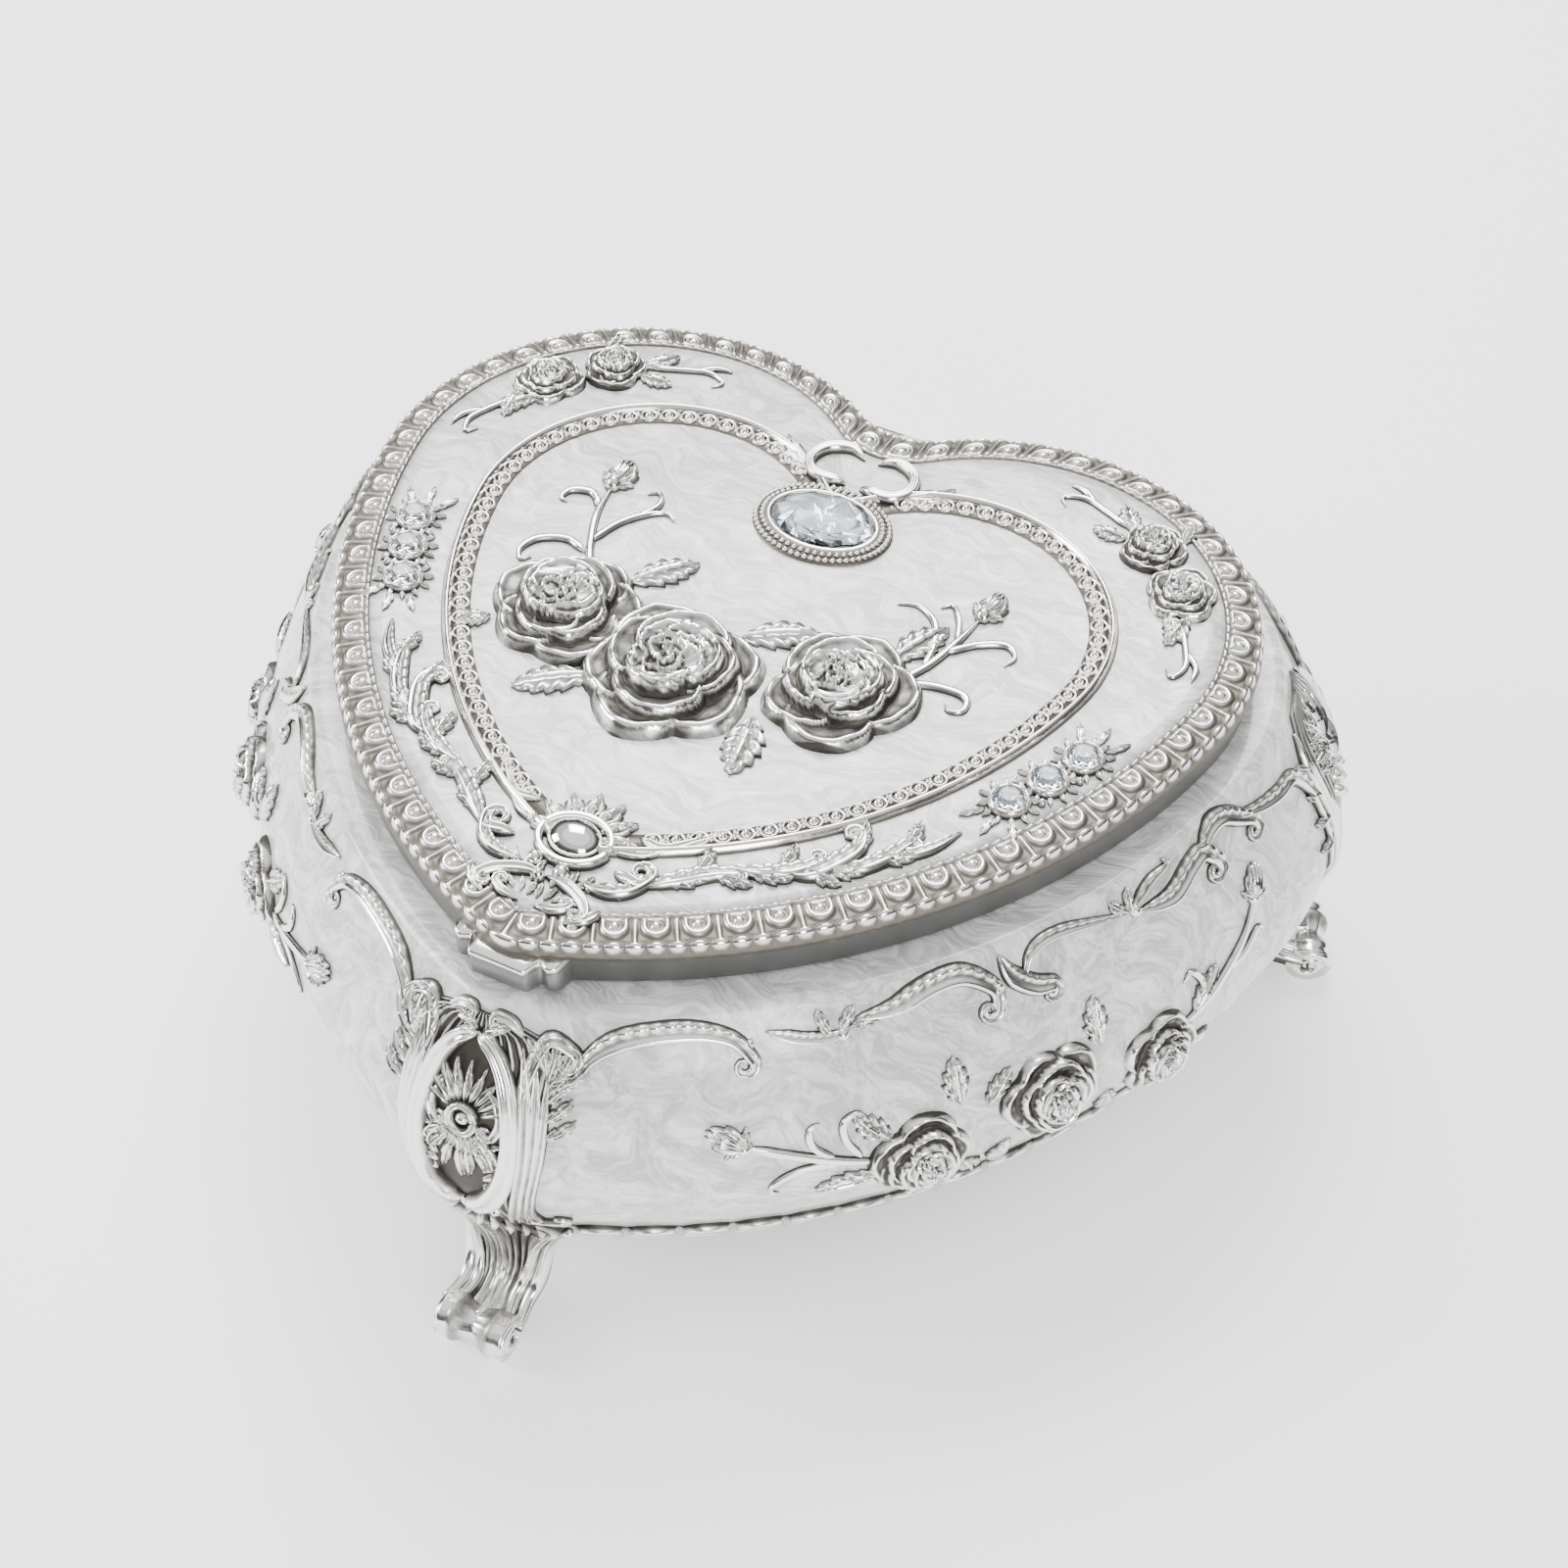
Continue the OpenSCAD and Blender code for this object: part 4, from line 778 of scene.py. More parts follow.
side_frame = [(0.0, 50.4), (2.2, 49.6), (3.9, 47.2), (4.7, 43.6), (4.9, 39.0), (4.3, 34.6), (3.0, 31.0), (1.2, 28.6),
              (0.0, 28.0)]
half_cartouche = scroll(on_wall(side_frame), 2.1, 2.2, (0.06, 0.06), hollow=0.35)
half_cartouche += scroll(rolled(on_wall([(2.0, 45.0), (3.4, 43.8), (3.9, 41.6), (3.3, 39.8)]), 0.9, -1), 1.1, 1.4)
half_cartouche += scroll(rolled(on_wall([(3.6, 34.6), (3.3, 37.0), (2.6, 38.2)]), 0.7, 1), 1.0, 1.3)
for k in range(6):
    half_cartouche += laid(leaf(2.6, 0.85, 1.1, 35, 1), wall_at(2.2, 32.2 + 1.25 * k), -52 + 4 * k)
for k, (dx, wide, tall) in enumerate([(0.0, 1.5, 1.6), (1.5, 1.3, 1.3), (2.9, 1.1, 1.0)]):
    half_cartouche += scroll(on_wall([(6.0 + dx, 49.8 - 1.2 * k), (6.4 + dx * 0.8, 45.0), (6.3 + dx * 0.6, 38.0),
                                      (5.4 + dx * 0.5, 31.5), (4.6 + dx * 0.6, 26.0), (4.4 + dx, 21.0)]),
                             wide, tall, (0.2, 0.15))
half_cartouche += scroll(rolled(on_wall([(5.6, 43.0), (7.0, 48.0), (9.0, 50.8), (11.6, 49.8)]), 1.5, -1), 1.8, 1.5, ribs=9)
for k, angle in enumerate([-70, -48, -26, -4, 18]):
    half_cartouche += laid(leaf(5.8 - 0.3 * k, 1.9, 1.7, -28, 3), wall_at(8.8, 45.4 + 0.5 * k), angle)
half_cartouche += scroll(rolled(on_wall([(6.2, 50.6), (4.6, 52.2), (2.4, 52.6)]), 0.9, 1), 1.3, 1.2)
for k in range(3):
    half_cartouche += laid(leaf(4.2, 1.7, 1.6, -30, 2), wall_at(8.6, 44.2 - 2.0 * k), -56 - 8 * k)
half_cartouche += laid(leaf(4.2, 1.8, 1.7, 35, 3), wall_at(0.5, 50.6), -60)
for k in range(3):
    half_cartouche += bead([wall_at(1.3 * k, 27.0 - 0.25 * k * k)], 0.85 - 0.12 * k, 1.3)
half_cartouche += scroll(rolled(on_wall([(3.6, 24.4), (6.6, 22.2), (9.6, 22.8)]), 1.0, 1), 1.3, 1.1)
make_piece("tip_cartouche", mapped(cartouche + mirrored(half_cartouche), on_case), [silver], "case")

# The lobe corners: a fan of acanthus with berries, and a ribbed frame that sweeps down to each foot
FOOT_WAY = 125.0
corner = ground(FOOT_WAY, [(12.5, 12.5), (17, 9.0), (24, 6.6), (32, 6.0), (38, 6.6), (44, 8.0), (48.6, 7.4),
                           (51.6, 4.4)], 13)
for k, angle in enumerate(np.linspace(-64, 64, 7)):
    corner += laid(leaf(7.6 - 0.035 * abs(angle), 3.0, 1.6, angle * 0.35, 4), wall_at(FOOT_WAY, 44.2), -angle)
for k, angle in enumerate(np.linspace(-50, 50, 5)):
    corner += laid(leaf(5.6, 2.6, 1.9, angle * 0.3, 3), wall_at(FOOT_WAY, 41.0), -angle)
berries = [(0, 0), (-1.2, -1.0), (1.2, -1.0), (0, -2.2), (-2.2, -2.4), (2.2, -2.4), (-1.1, -3.6), (1.1, -3.6), (0, -5.0)]
corner += bead([(FOOT_WAY + a, rise_of(41.0) + b) for a, b in berries], 0.85, 1.9)
for sign in (-1, 1):
    edge = [(FOOT_WAY + sign * a, z) for a, z in [(6.2, 50.4), (7.4, 47.0), (7.0, 42.0), (5.8, 36.0), (5.4, 30.0),
                                                  (6.0, 24.0), (8.4, 19.6)]]
    corner += scroll(on_wall(edge), 1.9, 1.4, (0.15, 0.15))
    inner_edge = [(FOOT_WAY + sign * a, z) for a, z in [(4.6, 40.0), (4.2, 35.0), (3.8, 30.0), (4.0, 24.0), (5.4, 18.6)]]
    corner += scroll(on_wall(inner_edge), 1.5, 1.3, (0.15, 0.15))
    for k in range(4):
        corner += laid(leaf(4.4, 1.6, 1.2, -sign * 24, 2), wall_at(FOOT_WAY + sign * 6.6, 46.0 - 3.4 * k), -sign * (62 + 8 * k))
for k in range(5):
    corner += scroll(on_wall([(FOOT_WAY + (k - 2) * 1.5, 35.0), (FOOT_WAY + (k - 2) * 1.3, 27.0),
                              (FOOT_WAY + (k - 2) * 1.6, 18.0)]), 1.2, 1.1, (0.2, 0.1))
make_piece("lobe_acanthus", mapped(mirrored(corner), on_case), [silver], "case")

# The base border: a plain roll, with small waves of leaves over it all the way round
border = []
roll_way = np.linspace(-WAY, WAY, 421)[:-1]
v = np.linspace(0, 2 * np.pi, 12, endpoint=False)[None, :]
roll = xyz(roll_way[:, None] + 0 * v, rise_of(10.0) + 1.1 * np.cos(v), 0.25 + 0.75 * np.sin(v))
border.append(grid_part(on_case(roll), close_rows=True, close_columns=True, wear_and_shade=0.25 + 0.75 * (np.sin(v) > 0.3)))
border_step, wave_low = 6.4, float(rise_of(16.5))
waves = []
for k in range(int((WAY - 16) / border_step)):
    way = 13.0 + border_step * k
    if abs(way - FOOT_WAY) > 9:
        waves += scroll(rolled(np.array([(way - 3.0, wave_low), (way - 0.8, wave_low + 2.2), (way + 1.8, wave_low + 2.0)]), 1.0, -1), 1.6, 1.3, rows=16)
        waves += laid(leaf(4.2, 2.2, 1.3, -30, 2, rows=14, columns=9), (way - 1.8, wave_low + 0.4), 62)
        waves += laid(leaf(3.4, 1.8, 1.2, 30, 2, rows=14, columns=9), (way + 0.6, wave_low + 0.8), -70)
make_piece("base_border", border + mapped(mirrored(waves), on_case), [silver], "case")


# ---- Feet: three fluted scroll feet, cast in zinc and brazed under the shell ----------------------
# Each foot flows out of the wall as a fan of flutes between two ribbed scrolls, narrows to a waist
# and rolls under into a toe. Its line is the same curve as the frame's foot.
TOE_R, TOE_W, TOE_OUT, FOOT_TOP = 3.2, 9.0, 12.5, 22.0
foot_curve = np.array([[float(case_out(FOOT_TOP)) + BASE_IN, FOOT_TOP], [2.2, 12], [2.0, 2.5], [TOE_OUT, TOE_R - 0.2]])


def foot_line(t):
    """The foot's middle line, out from the case's bottom edge and up, and its direction: a cubic curve."""
    t = np.asarray(t, float)[..., None]
    p = foot_curve
    at = p[0] * (1 - t) ** 3 + 3 * p[1] * t * (1 - t) ** 2 + 3 * p[2] * t ** 2 * (1 - t) + p[3] * t ** 3
    way = (p[1] - p[0]) * (1 - t) ** 2 + 2 * (p[2] - p[1]) * t * (1 - t) + (p[3] - p[2]) * t ** 2
    return at, way / np.linalg.norm(way, axis=-1, keepdims=True)


def foot_width(t):
    """Half the foot's width: wide under the wall, a waist, and a little wider again at the toe."""
    return (7.2 + 12.6 * (1 - t) ** 2.2 + 2.4 * np.clip((t - 0.75) / 0.25, 0, 1) ** 2) / 2


def foot_parts():
    """A foot in its own frame, out, along and up: a fluted blade on the curve, two side scrolls, and a toe
    rolled round a spiral."""
    t, v = np.linspace(0, 1, 46)[:, None], np.linspace(-1, 1, 61)[None, :]
    at, way = foot_line(t[:, 0])
    half = foot_width(t)
    fan = np.clip(1.15 - t * 1.25, 0, 1)
    flute = 0.75 * np.cos(np.pi * 11 * v) * fan * (np.abs(v) < 0.76)
    side_rib = 0.9 * bell(np.abs(v) - 0.86, 0.09) + 0.55 * bell(np.abs(v) - 0.68, 0.06)
    middle = 0.8 * bell(v, 0.16) * (1 - fan) + 0.5 * bell(np.abs(v) - 0.36, 0.10) * (1 - fan)
    thick = 1.5 + flute + side_rib + middle - 0.7 * np.abs(v) ** 6
    front = xyz(at[:, :1] - way[:, 1:] * thick, half * v, at[:, 1:] + way[:, :1] * thick)
    back_t = -1.3 + 0.5 * v ** 2 + 0 * t
    back = xyz(at[:, :1] - way[:, 1:] * back_t, half * v, at[:, 1:] + way[:, :1] * back_t)
    loop = np.concatenate([front, back[:, ::-1]], 1)
    # Wear value from the thickness: painted shade between the flutes and ribs
    wear_and_shade = np.clip(0.08 + 0.85 * (thick - 1.1) / 1.1, 0, 1)
    thick = -0.6 + (thick + 0.6) * np.sin(np.pi / 2 * np.clip(t / 0.30, 0, 1))
    shade = np.concatenate([wear_and_shade, 0.3 + 0 * wear_and_shade], 1)
    ends = [loop[:1].copy(), loop[-1:].copy()]
    for end in ends:
        end[...] = end.mean(1, keepdims=True)
    parts = [grid_part(np.concatenate([ends[0], loop, ends[1]]), close_columns=True,
                       wear_and_shade=np.concatenate([shade[:1], shade, shade[-1:]]))]
    turn = np.linspace(0, 2 * np.pi, 41)[:-1, None]
    w = np.linspace(-1, 1, 25)[None, :]
    r = TOE_R * (0.94 - 0.30 * (1 - np.abs(w)) ** 2 + 0.10 * bell(np.abs(w) - 0.55, 0.12))
    r = r * (1 - 0.04 * np.cos(turn * 10) * (np.abs(w) < 0.5))
    toe_z = TOE_R - 0.2
    z = np.maximum(toe_z + r * np.sin(turn), 0.0)
    toe = xyz(TOE_OUT + r * np.cos(turn), (TOE_W / 2) * w + 0 * turn, z)
    caps = [toe[:, :1].mean(0, keepdims=True) + 0 * toe[:, :1], toe[:, -1:].mean(0, keepdims=True) + 0 * toe[:, -1:]]
    toe = np.concatenate([caps[0], toe, caps[1]], 1)
    rib = np.clip(0.35 + 0.65 * bell(np.abs(w) - 0.85, 0.25) + 0.4 * bell(w, 0.3), 0, 1) + 0 * turn
    parts.append(grid_part(toe, close_rows=True, wear_and_shade=np.concatenate([rib[:, :1], rib, rib[:, -1:]], 1)))
    s = np.linspace(0, 1, 60)[:, None]
    a = np.linspace(0, 2 * np.pi, 10, endpoint=False)[None, :]
    for sign in (-1, 1):
        spin = 2 * np.pi * 1.6 * s
        rr, tube = (TOE_R - 0.7) * (1 - 0.8 * s), 0.62 * (1 - 0.45 * s)
        out = TOE_OUT + (rr + tube * np.cos(a)) * np.cos(spin)
        up = toe_z + (rr + tube * np.cos(a)) * np.sin(spin)
        along = sign * (TOE_W / 2 - 0.1) + tube * np.sin(a)
        coil = xyz(out, along + 0 * out, np.maximum(up, 0.02))
        coil = np.concatenate([coil[:1].mean(1, keepdims=True) + 0 * coil[:1], coil,
                               coil[-1:].mean(1, keepdims=True) + 0 * coil[-1:]])
        parts.append(grid_part(coil, close_columns=True, wear_and_shade=0.9))
    for sign in (-1, 1):
        for k, (inset, tube) in enumerate([(0.0, 0.95), (1.7, 0.7)]):
            tt = np.linspace(0.02, 0.97, 50)
            at, way = foot_line(tt)
            edge = sign * (foot_width(tt) + 0.5 - inset)
            lift = 1.3 + 0.5 * k
            centre = xyz(at[:, 0] - way[:, 1] * lift, edge, at[:, 1] + way[:, 0] * lift)
            size = (tube * (0.45 + 0.55 * np.sin(np.pi * tt) ** 0.5))[:, None]
            normal = xyz(-way[:, 1], 0 * tt, way[:, 0])[:, None, :]
            across = np.array([0.0, 1.0, 0.0])[None, None, :]
            ring = centre[:, None, :] + size[..., None] * (np.cos(a)[..., None] * normal + np.sin(a)[..., None] * across)
            ring = np.concatenate([ring[:1].mean(1, keepdims=True) + 0 * ring[:1], ring,
                                   ring[-1:].mean(1, keepdims=True) + 0 * ring[-1:]])
            parts.append(grid_part(ring, close_columns=True, wear_and_shade=np.clip(0.35 + 0.65 * np.cos(a), 0, 1) + 0 * ring[..., 0]))
    return parts


lobe_turn = math.radians(26)
foot_reach = OUTLINE["lobe_r"] - BASE_IN
for name, node, way, origin, turn in [
        ("front_foot", "foot_front", 0.0, (0.0, -OUTLINE["tip_y"] + BASE_IN), -math.pi / 2),
        ("right_foot", "foot_right", FOOT_WAY, (OUTLINE["lobe_x"] + foot_reach * math.cos(lobe_turn),
                                                OUTLINE["lobe_y"] + foot_reach * math.sin(lobe_turn)), lobe_turn),
        ("left_foot", "foot_left", -FOOT_WAY, (-OUTLINE["lobe_x"] - foot_reach * math.cos(lobe_turn),
                                               OUTLINE["lobe_y"] + foot_reach * math.sin(lobe_turn)),
         math.pi - lobe_turn)]:
    placed = []
    for p, rows_close, columns_close, wear_and_shade, skin in foot_parts():
        x = origin[0] + p[..., 0] * math.cos(turn) - p[..., 1] * math.sin(turn)
        y = origin[1] + p[..., 0] * math.sin(turn) + p[..., 1] * math.cos(turn)
        round_x, round_y, _, _ = heart(way + p[..., 1], p[..., 0] - BASE_IN)
        share = np.clip((p[..., 2] - 5.0) / 9.0, 0, 1)
        share = share * share * (3 - 2 * share)
        x, y = x + share * (round_x - x), y + share * (round_y - y)
        placed.append((xyz(x, y + SHIFT_Y, p[..., 2]), rows_close, columns_close, wear_and_shade, skin))
    make_piece(name, placed, [silver], "case", [node])


# ---- Lid: a shallow cast plate with a turned-down band, enamelled inside its moulding ---------------
# The top is enamelled up to the moulding and crowned a little. The band under the moulding is plate
# painted darker as shade under the moulding, and closes inside the case's rim. The underside is plate in the same
# darker material, with the mirror glued to it.
LID_RISE, MOULD_W, BAND_H, BAND_IN, BAND_T, LID_T = 2.5, 4.6, 4.5, 0.8, 1.2, 1.8
LID_CROWN = 0.12
LID_TOP, CEILING = LID_Z + LID_RISE, LID_Z + LID_RISE - LID_T
lid_ends = lengths(OUTLINE, LID_AT)
LID_WAY = lid_ends[-1]
lid_ways = np.linspace(-LID_WAY, LID_WAY, 481)[:-1]
HEART_MIDDLE = np.array([0.0, 5.0])


def filled_heart(edge, z_edge, crown, steps):
    """Rings from the edge of a heart to its middle: each shrinks evenly, and the level rises by crown as
    one less the square of the distance out."""
    t = np.linspace(1, 0, steps)[None, :]
    x = edge[:, :1] * t
    y = HEART_MIDDLE[1] + SHIFT_Y + (edge[:, 1:2] - HEART_MIDDLE[1] - SHIFT_Y) * t
    return xyz(x, y, z_edge + crown * (1 - t ** 2))


lid_enamel = enamel_material("lid_enamel", 190.0, (0.52, 0.52, 0.52), (0.95, 0.95, 0.945))
top_edge = heart_rings([(-MOULD_W + 0.3, LID_TOP)], LID_AT, lid_ways)[:, 0]
lid_rings = heart_rings([(-MOULD_W + 0.3, LID_TOP), (-MOULD_W + 0.3, LID_TOP - 0.6), (-0.4, LID_Z + 0.4), (-0.4, LID_Z),
                         (-BAND_IN, LID_Z), (-BAND_IN, LID_Z - BAND_H + 0.3), (-BAND_IN - 0.3, LID_Z - BAND_H),
                         (-BAND_IN - BAND_T, LID_Z - BAND_H), (-BAND_IN - BAND_T, CEILING)], LID_AT, lid_ways)
ceiling = filled_heart(lid_rings[:, -1], CEILING, 0.0, 8)
# A darker copy of the silver plate: painted shade for the band, the ceiling and the tab's face under the lid
shaded_chrome = silver_material("shaded_chrome_band", 500.0, (0.78, 0.78, 0.77), (0.22, 0.22, 0.215))
make_piece("lid_plate", [grid_part(filled_heart(top_edge, LID_TOP, LID_CROWN, 24), close_rows=True),
                         grid_part(lid_rings, close_rows=True, wear_and_shade=0.22, skin=1),
                         grid_part(ceiling, close_rows=True, wear_and_shade=0.7, skin=1)],
           [lid_enamel, shaded_chrome], "lid", ["lid_shell"])

# The moulding: egg and dart between a fine rope inside and a beaded edge outside
PITCH_COUNT = round(LID_WAY / 4.6)
mould_ways = np.linspace(-LID_WAY, LID_WAY, PITCH_COUNT * 2 * 20 + 1)[:-1]
across = np.linspace(0, 1, 27)


def step(x, soft=0.12):
    """0 below zero and 1 above it, with a smooth edge of the given width."""
    t = np.clip(x / soft + 0.5, 0, 1)
    return t * t * (3 - 2 * t)


def moulding_relief(way, y):
    """Height of the pattern at a distance round the lid and a share y of the moulding's width. Each pitch
    has a U-shaped egg with a pearl in it, a dart between eggs, a rope at y = 0 and beads at y = 1."""
    x = (way / (LID_WAY / PITCH_COUNT)) % 1 - 0.5
    drop = np.maximum((y - 0.34) / 0.36, 0)
    egg = np.hypot(x / 0.36, drop)
    body = step(1 - egg, 0.25) * step(y - 0.16, 0.05)
    hollow = step(0.60 - egg, 0.18) * step(y - 0.2, 0.05)
    pearl = np.sqrt(np.clip(1 - (x / 0.15) ** 2 - ((y - 0.38) / 0.15) ** 2, 0, 1))
    dart = step(0.075 * (1.15 - y) - (0.5 - np.abs(x)), 0.05) * step(y - 0.16, 0.05) * step(0.80 - y, 0.05)
    rope = np.sqrt(np.clip(1 - ((y - 0.07) / 0.07) ** 2, 0, 1)) * (0.8 + 0.2 * np.cos(2 * np.pi * (3 * x + y * 2)))
    edge_x = (2 * x + 0.5) % 1 - 0.5
    beads = np.sqrt(np.clip(1 - (edge_x / 0.46) ** 2 * 0.8 - ((y - 0.89) / 0.095) ** 2, 0, 1))
    return 0.5 * body - 0.34 * hollow + 0.5 * pearl + 0.42 * dart + 0.5 * rope + 0.6 * beads


y_share = np.broadcast_to(across[None, :], (len(mould_ways), len(across)))
relief = moulding_relief(mould_ways[:, None], y_share)
base_out = -MOULD_W + (MOULD_W + 0.15) * y_share
base_z = LID_TOP - 0.35 * y_share - 1.3 * np.clip((y_share - 0.72) / 0.28, 0, 1) ** 2
x, y, nx, ny = heart(mould_ways[:, None], base_out + 0.25 * relief * (y_share > 0.75), LID_AT)
face = xyz(x, y + SHIFT_Y, base_z + relief)
mould_low = heart_rings([(0.15, LID_Z + 0.05), (-MOULD_W, LID_Z + 0.05)], LID_AT, mould_ways)
loop = np.concatenate([face, mould_low], 1)
# Wear value from the relief's height: painted shade in the hollows of the egg and dart
mould_wear_and_shade = np.concatenate([np.clip(0.04 + 1.35 * relief, 0, 1), np.full((len(mould_ways), 2), 0.3)], 1)
warm_silver = silver_material("warm_silver", 900.0, (0.905, 0.88, 0.84), (0.16, 0.145, 0.125))
make_piece("lid_moulding", [grid_part(loop, close_rows=True, close_columns=True, wear_and_shade=mould_wear_and_shade)],
           [warm_silver], "lid")


# ---- Lid relief: the inner heart, its beads, the roses and sprays, and the ornament at tip and cleft --
# These are cast in one with the lid and silver plated. The inner heart is a raised fillet with a row of
# beads and points inside it. Three big roses with sprays lie across its middle.
def on_lid(p):
    """Points given as across, back and height over the lid, in space."""
    return xyz(p[..., 0], p[..., 1] + SHIFT_Y, LID_TOP + LID_CROWN + p[..., 2])


INNER = dict(lobe_x=18.7, lobe_y=14.8, lobe_r=22.6, side_r=63.9, tip_r=2.1, tip_y=37.3, cleft_r=3.5)
INNER_WAY = lengths(INNER, 0.0)[-1]
inner_ways = np.linspace(-INNER_WAY, INNER_WAY, 361)[:-1]
across = np.linspace(-1, 1, 9)
x, y, _, _ = heart(inner_ways[:, None], 0.72 * across[None, :], 0.0, INNER)
fillet_h = 1.0 * (1 - np.abs(across[None, :]) ** 1.6) + 0 * x
fillet = np.concatenate([xyz(x, y, fillet_h), xyz(x, y, -SINK)[:, ::-1]], 1)
# Wear value from the fillet's height: painted shade along its foot
fillet_wear_and_shade = np.concatenate([np.clip(0.05 + 1.3 * fillet_h, 0, 1), 0 * fillet_h], 1)
inner_frame = [grid_part(fillet, close_rows=True, close_columns=True, wear_and_shade=fillet_wear_and_shade)]
lane = np.array([[-0.6, -0.3], [-0.6, 0.16], [-2.75, 0.16], [-2.95, -0.3]])
x, y, _, _ = heart(inner_ways[:, None], lane[None, :, 0], 0.0, INNER)
inner_frame.append(grid_part(xyz(x, y, lane[None, :, 1]), close_rows=True, close_columns=True, wear_and_shade=0.12))
BEADS = round(INNER_WAY / 2.7)
bead_ways = (np.arange(-BEADS, BEADS) + 0.5) * INNER_WAY / BEADS
point_ways = np.arange(-BEADS, BEADS) * INNER_WAY / BEADS
x, y, _, _ = heart(bead_ways, -1.65, 0.0, INNER)
centres = np.stack([x, y], 1)
kept = (np.hypot(centres[:, 0], centres[:, 1] - 24.9) > 8.2) & (centres[:, 1] > -32.5)
inner_frame += bead(centres[kept], 0.62, 0.95, 10)
ring_turn = np.linspace(0, 2 * np.pi, 12, endpoint=False)[:, None]
tube_turn = np.linspace(0, 2 * np.pi, 5, endpoint=False)[None, :]
ring_r = 0.98 + 0.2 * np.cos(tube_turn)
ring = xyz(ring_r * np.cos(ring_turn), ring_r * np.sin(ring_turn), 0.30 + 0.26 * np.sin(tube_turn))
rings = ring[None] + np.concatenate([centres[kept], np.zeros((kept.sum(), 1))], 1)[:, None, None, :]
inner_frame.append(grid_part(rings, close_rows=True, close_columns=True, wear_and_shade=0.75))
x, y, _, _ = heart(point_ways, -1.35, 0.0, INNER)
centres = np.stack([x, y], 1)
kept = (np.hypot(centres[:, 0], centres[:, 1] - 24.9) > 8.2) & (centres[:, 1] > -32.5)
inner_frame += bead(centres[kept], 0.36, 0.85, 6)
x, y, _, _ = heart(point_ways, -2.1, 0.0, INNER)
inner_frame += bead(np.stack([x, y], 1)[kept], 0.30, 0.7, 6)
make_piece("inner_heart", mapped(inner_frame, on_lid), [warm_silver], "lid")

roses = []
for at, radius, tall, turn, seed in [((-20.3, -3.4), 9.2, 4.2, 20, 11), ((-3.4, -7.8), 10.8, 4.9, 55, 12),
                                     ((15.4, -1.2), 8.9, 4.3, 80, 13)]:
    roses += laid(rose(radius, tall, turn, seed), at)
make_piece("lid_roses", mapped(roses, on_lid), [silver], "lid", ["rose_spray"])

sprays = []
for at, turn, length, width, bend in [((-15.6, 4.0), -35, 9.0, 5.0, 12), ((1.0, 1.6), -52, 9.5, 5.2, 14),
                                      ((18.6, 6.6), -18, 8.8, 5.0, 12), ((-11.6, -12.2), 122, 9.6, 5.0, -12),
                                      ((8.6, -9.6), 196, 9.4, 5.4, 10), ((-27.5, -9.0), 128, 4.2, 3.0, 8)]:
    sprays += spray_leaf(at, turn, length, width, 1.5, bend, 5)
for points, wide in [([(-21.4, 4.0), (-23.6, 8.0), (-25.8, 13.4), (-26.6, 19.2)], 1.0),
                     ([(-23.4, 6.4), (-26.6, 7.4), (-29.8, 5.8), (-30.8, 3.2), (-29.8, 1.6), (-28.8, 2.6)], 1.0),
                     ([(-26.0, 14.4), (-28.2, 16.4), (-30.8, 15.6), (-31.2, 13.8), (-30.2, 13.6)], 1.0),
                     ([(-23.8, 8.4), (-22.4, 12.8), (-20.2, 15.8), (-18.0, 17.2), (-16.4, 16.4)], 0.9),
                     ([(-21.0, 14.8), (-19.6, 18.0), (-20.6, 20.2), (-22.0, 19.4)], 0.8),
                     ([(20.8, 3.8), (22.8, 8.2), (24.0, 13.4), (24.8, 18.6)], 1.0),
                     ([(22.4, 6.6), (21.8, 11.2), (20.0, 15.0), (17.0, 16.6), (14.6, 15.8)], 0.9),
                     ([(23.4, 10.6), (26.2, 13.6), (29.4, 15.2), (31.2, 13.8), (30.6, 12.0)], 0.9),
                     ([(20.6, 3.4), (25.0, 5.0), (28.8, 5.0), (29.6, 2.8), (28.0, 2.0), (27.2, 3.0)], 1.0),
                     ([(24.0, 13.0), (22.6, 16.4), (20.8, 18.6), (19.6, 17.6)], 0.8)]:
    sprays += scroll(points, wide, 0.75, taper=(0.1, 0.4), hollow=0.1, columns=7)
sprays += laid(bud(5.0, 5.0, 1.9), (-26.6, 18.6), -4) + laid(bud(4.8, 4.6, 1.8), (24.8, 18.2), -10)
pair = []
for at, radius, turn, seed in [((38.0, 39.4), 4.0, 0, 21), ((44.4, 33.0), 4.4, 30, 22)]:
    pair += laid(rose(radius, 2.6, turn, seed, 34, 76), at)
for at, turn, length in [((35.2, 41.4), 48, 5.2), ((34.4, 39.4), 92, 4.6), ((46.6, 29.6), 178, 5.4), ((44.2, 29.4), 218, 4.6),
                         ((41.0, 42.0), 8, 3.8)]:
    pair += spray_leaf(at, turn, length, length * 0.58, 1.2, 10, 4)
for points in ([(33.8, 41.6), (30.0, 43.2), (26.8, 44.2), (24.2, 43.2), (25.2, 41.8)],
               [(28.4, 43.8), (26.4, 45.4), (24.2, 45.8)],
               [(46.4, 28.4), (48.6, 24.4), (49.6, 21.6), (48.8, 19.4), (47.6, 20.6)],
               [(48.8, 24.2), (50.8, 22.2), (51.2, 19.8)]):
    pair += scroll(points, 0.8, 0.6, taper=(0.1, 0.4), hollow=0.1, columns=7)
sprays += mirrored(pair)
make_piece("lid_sprays", mapped(sprays, on_lid), [silver], "lid")

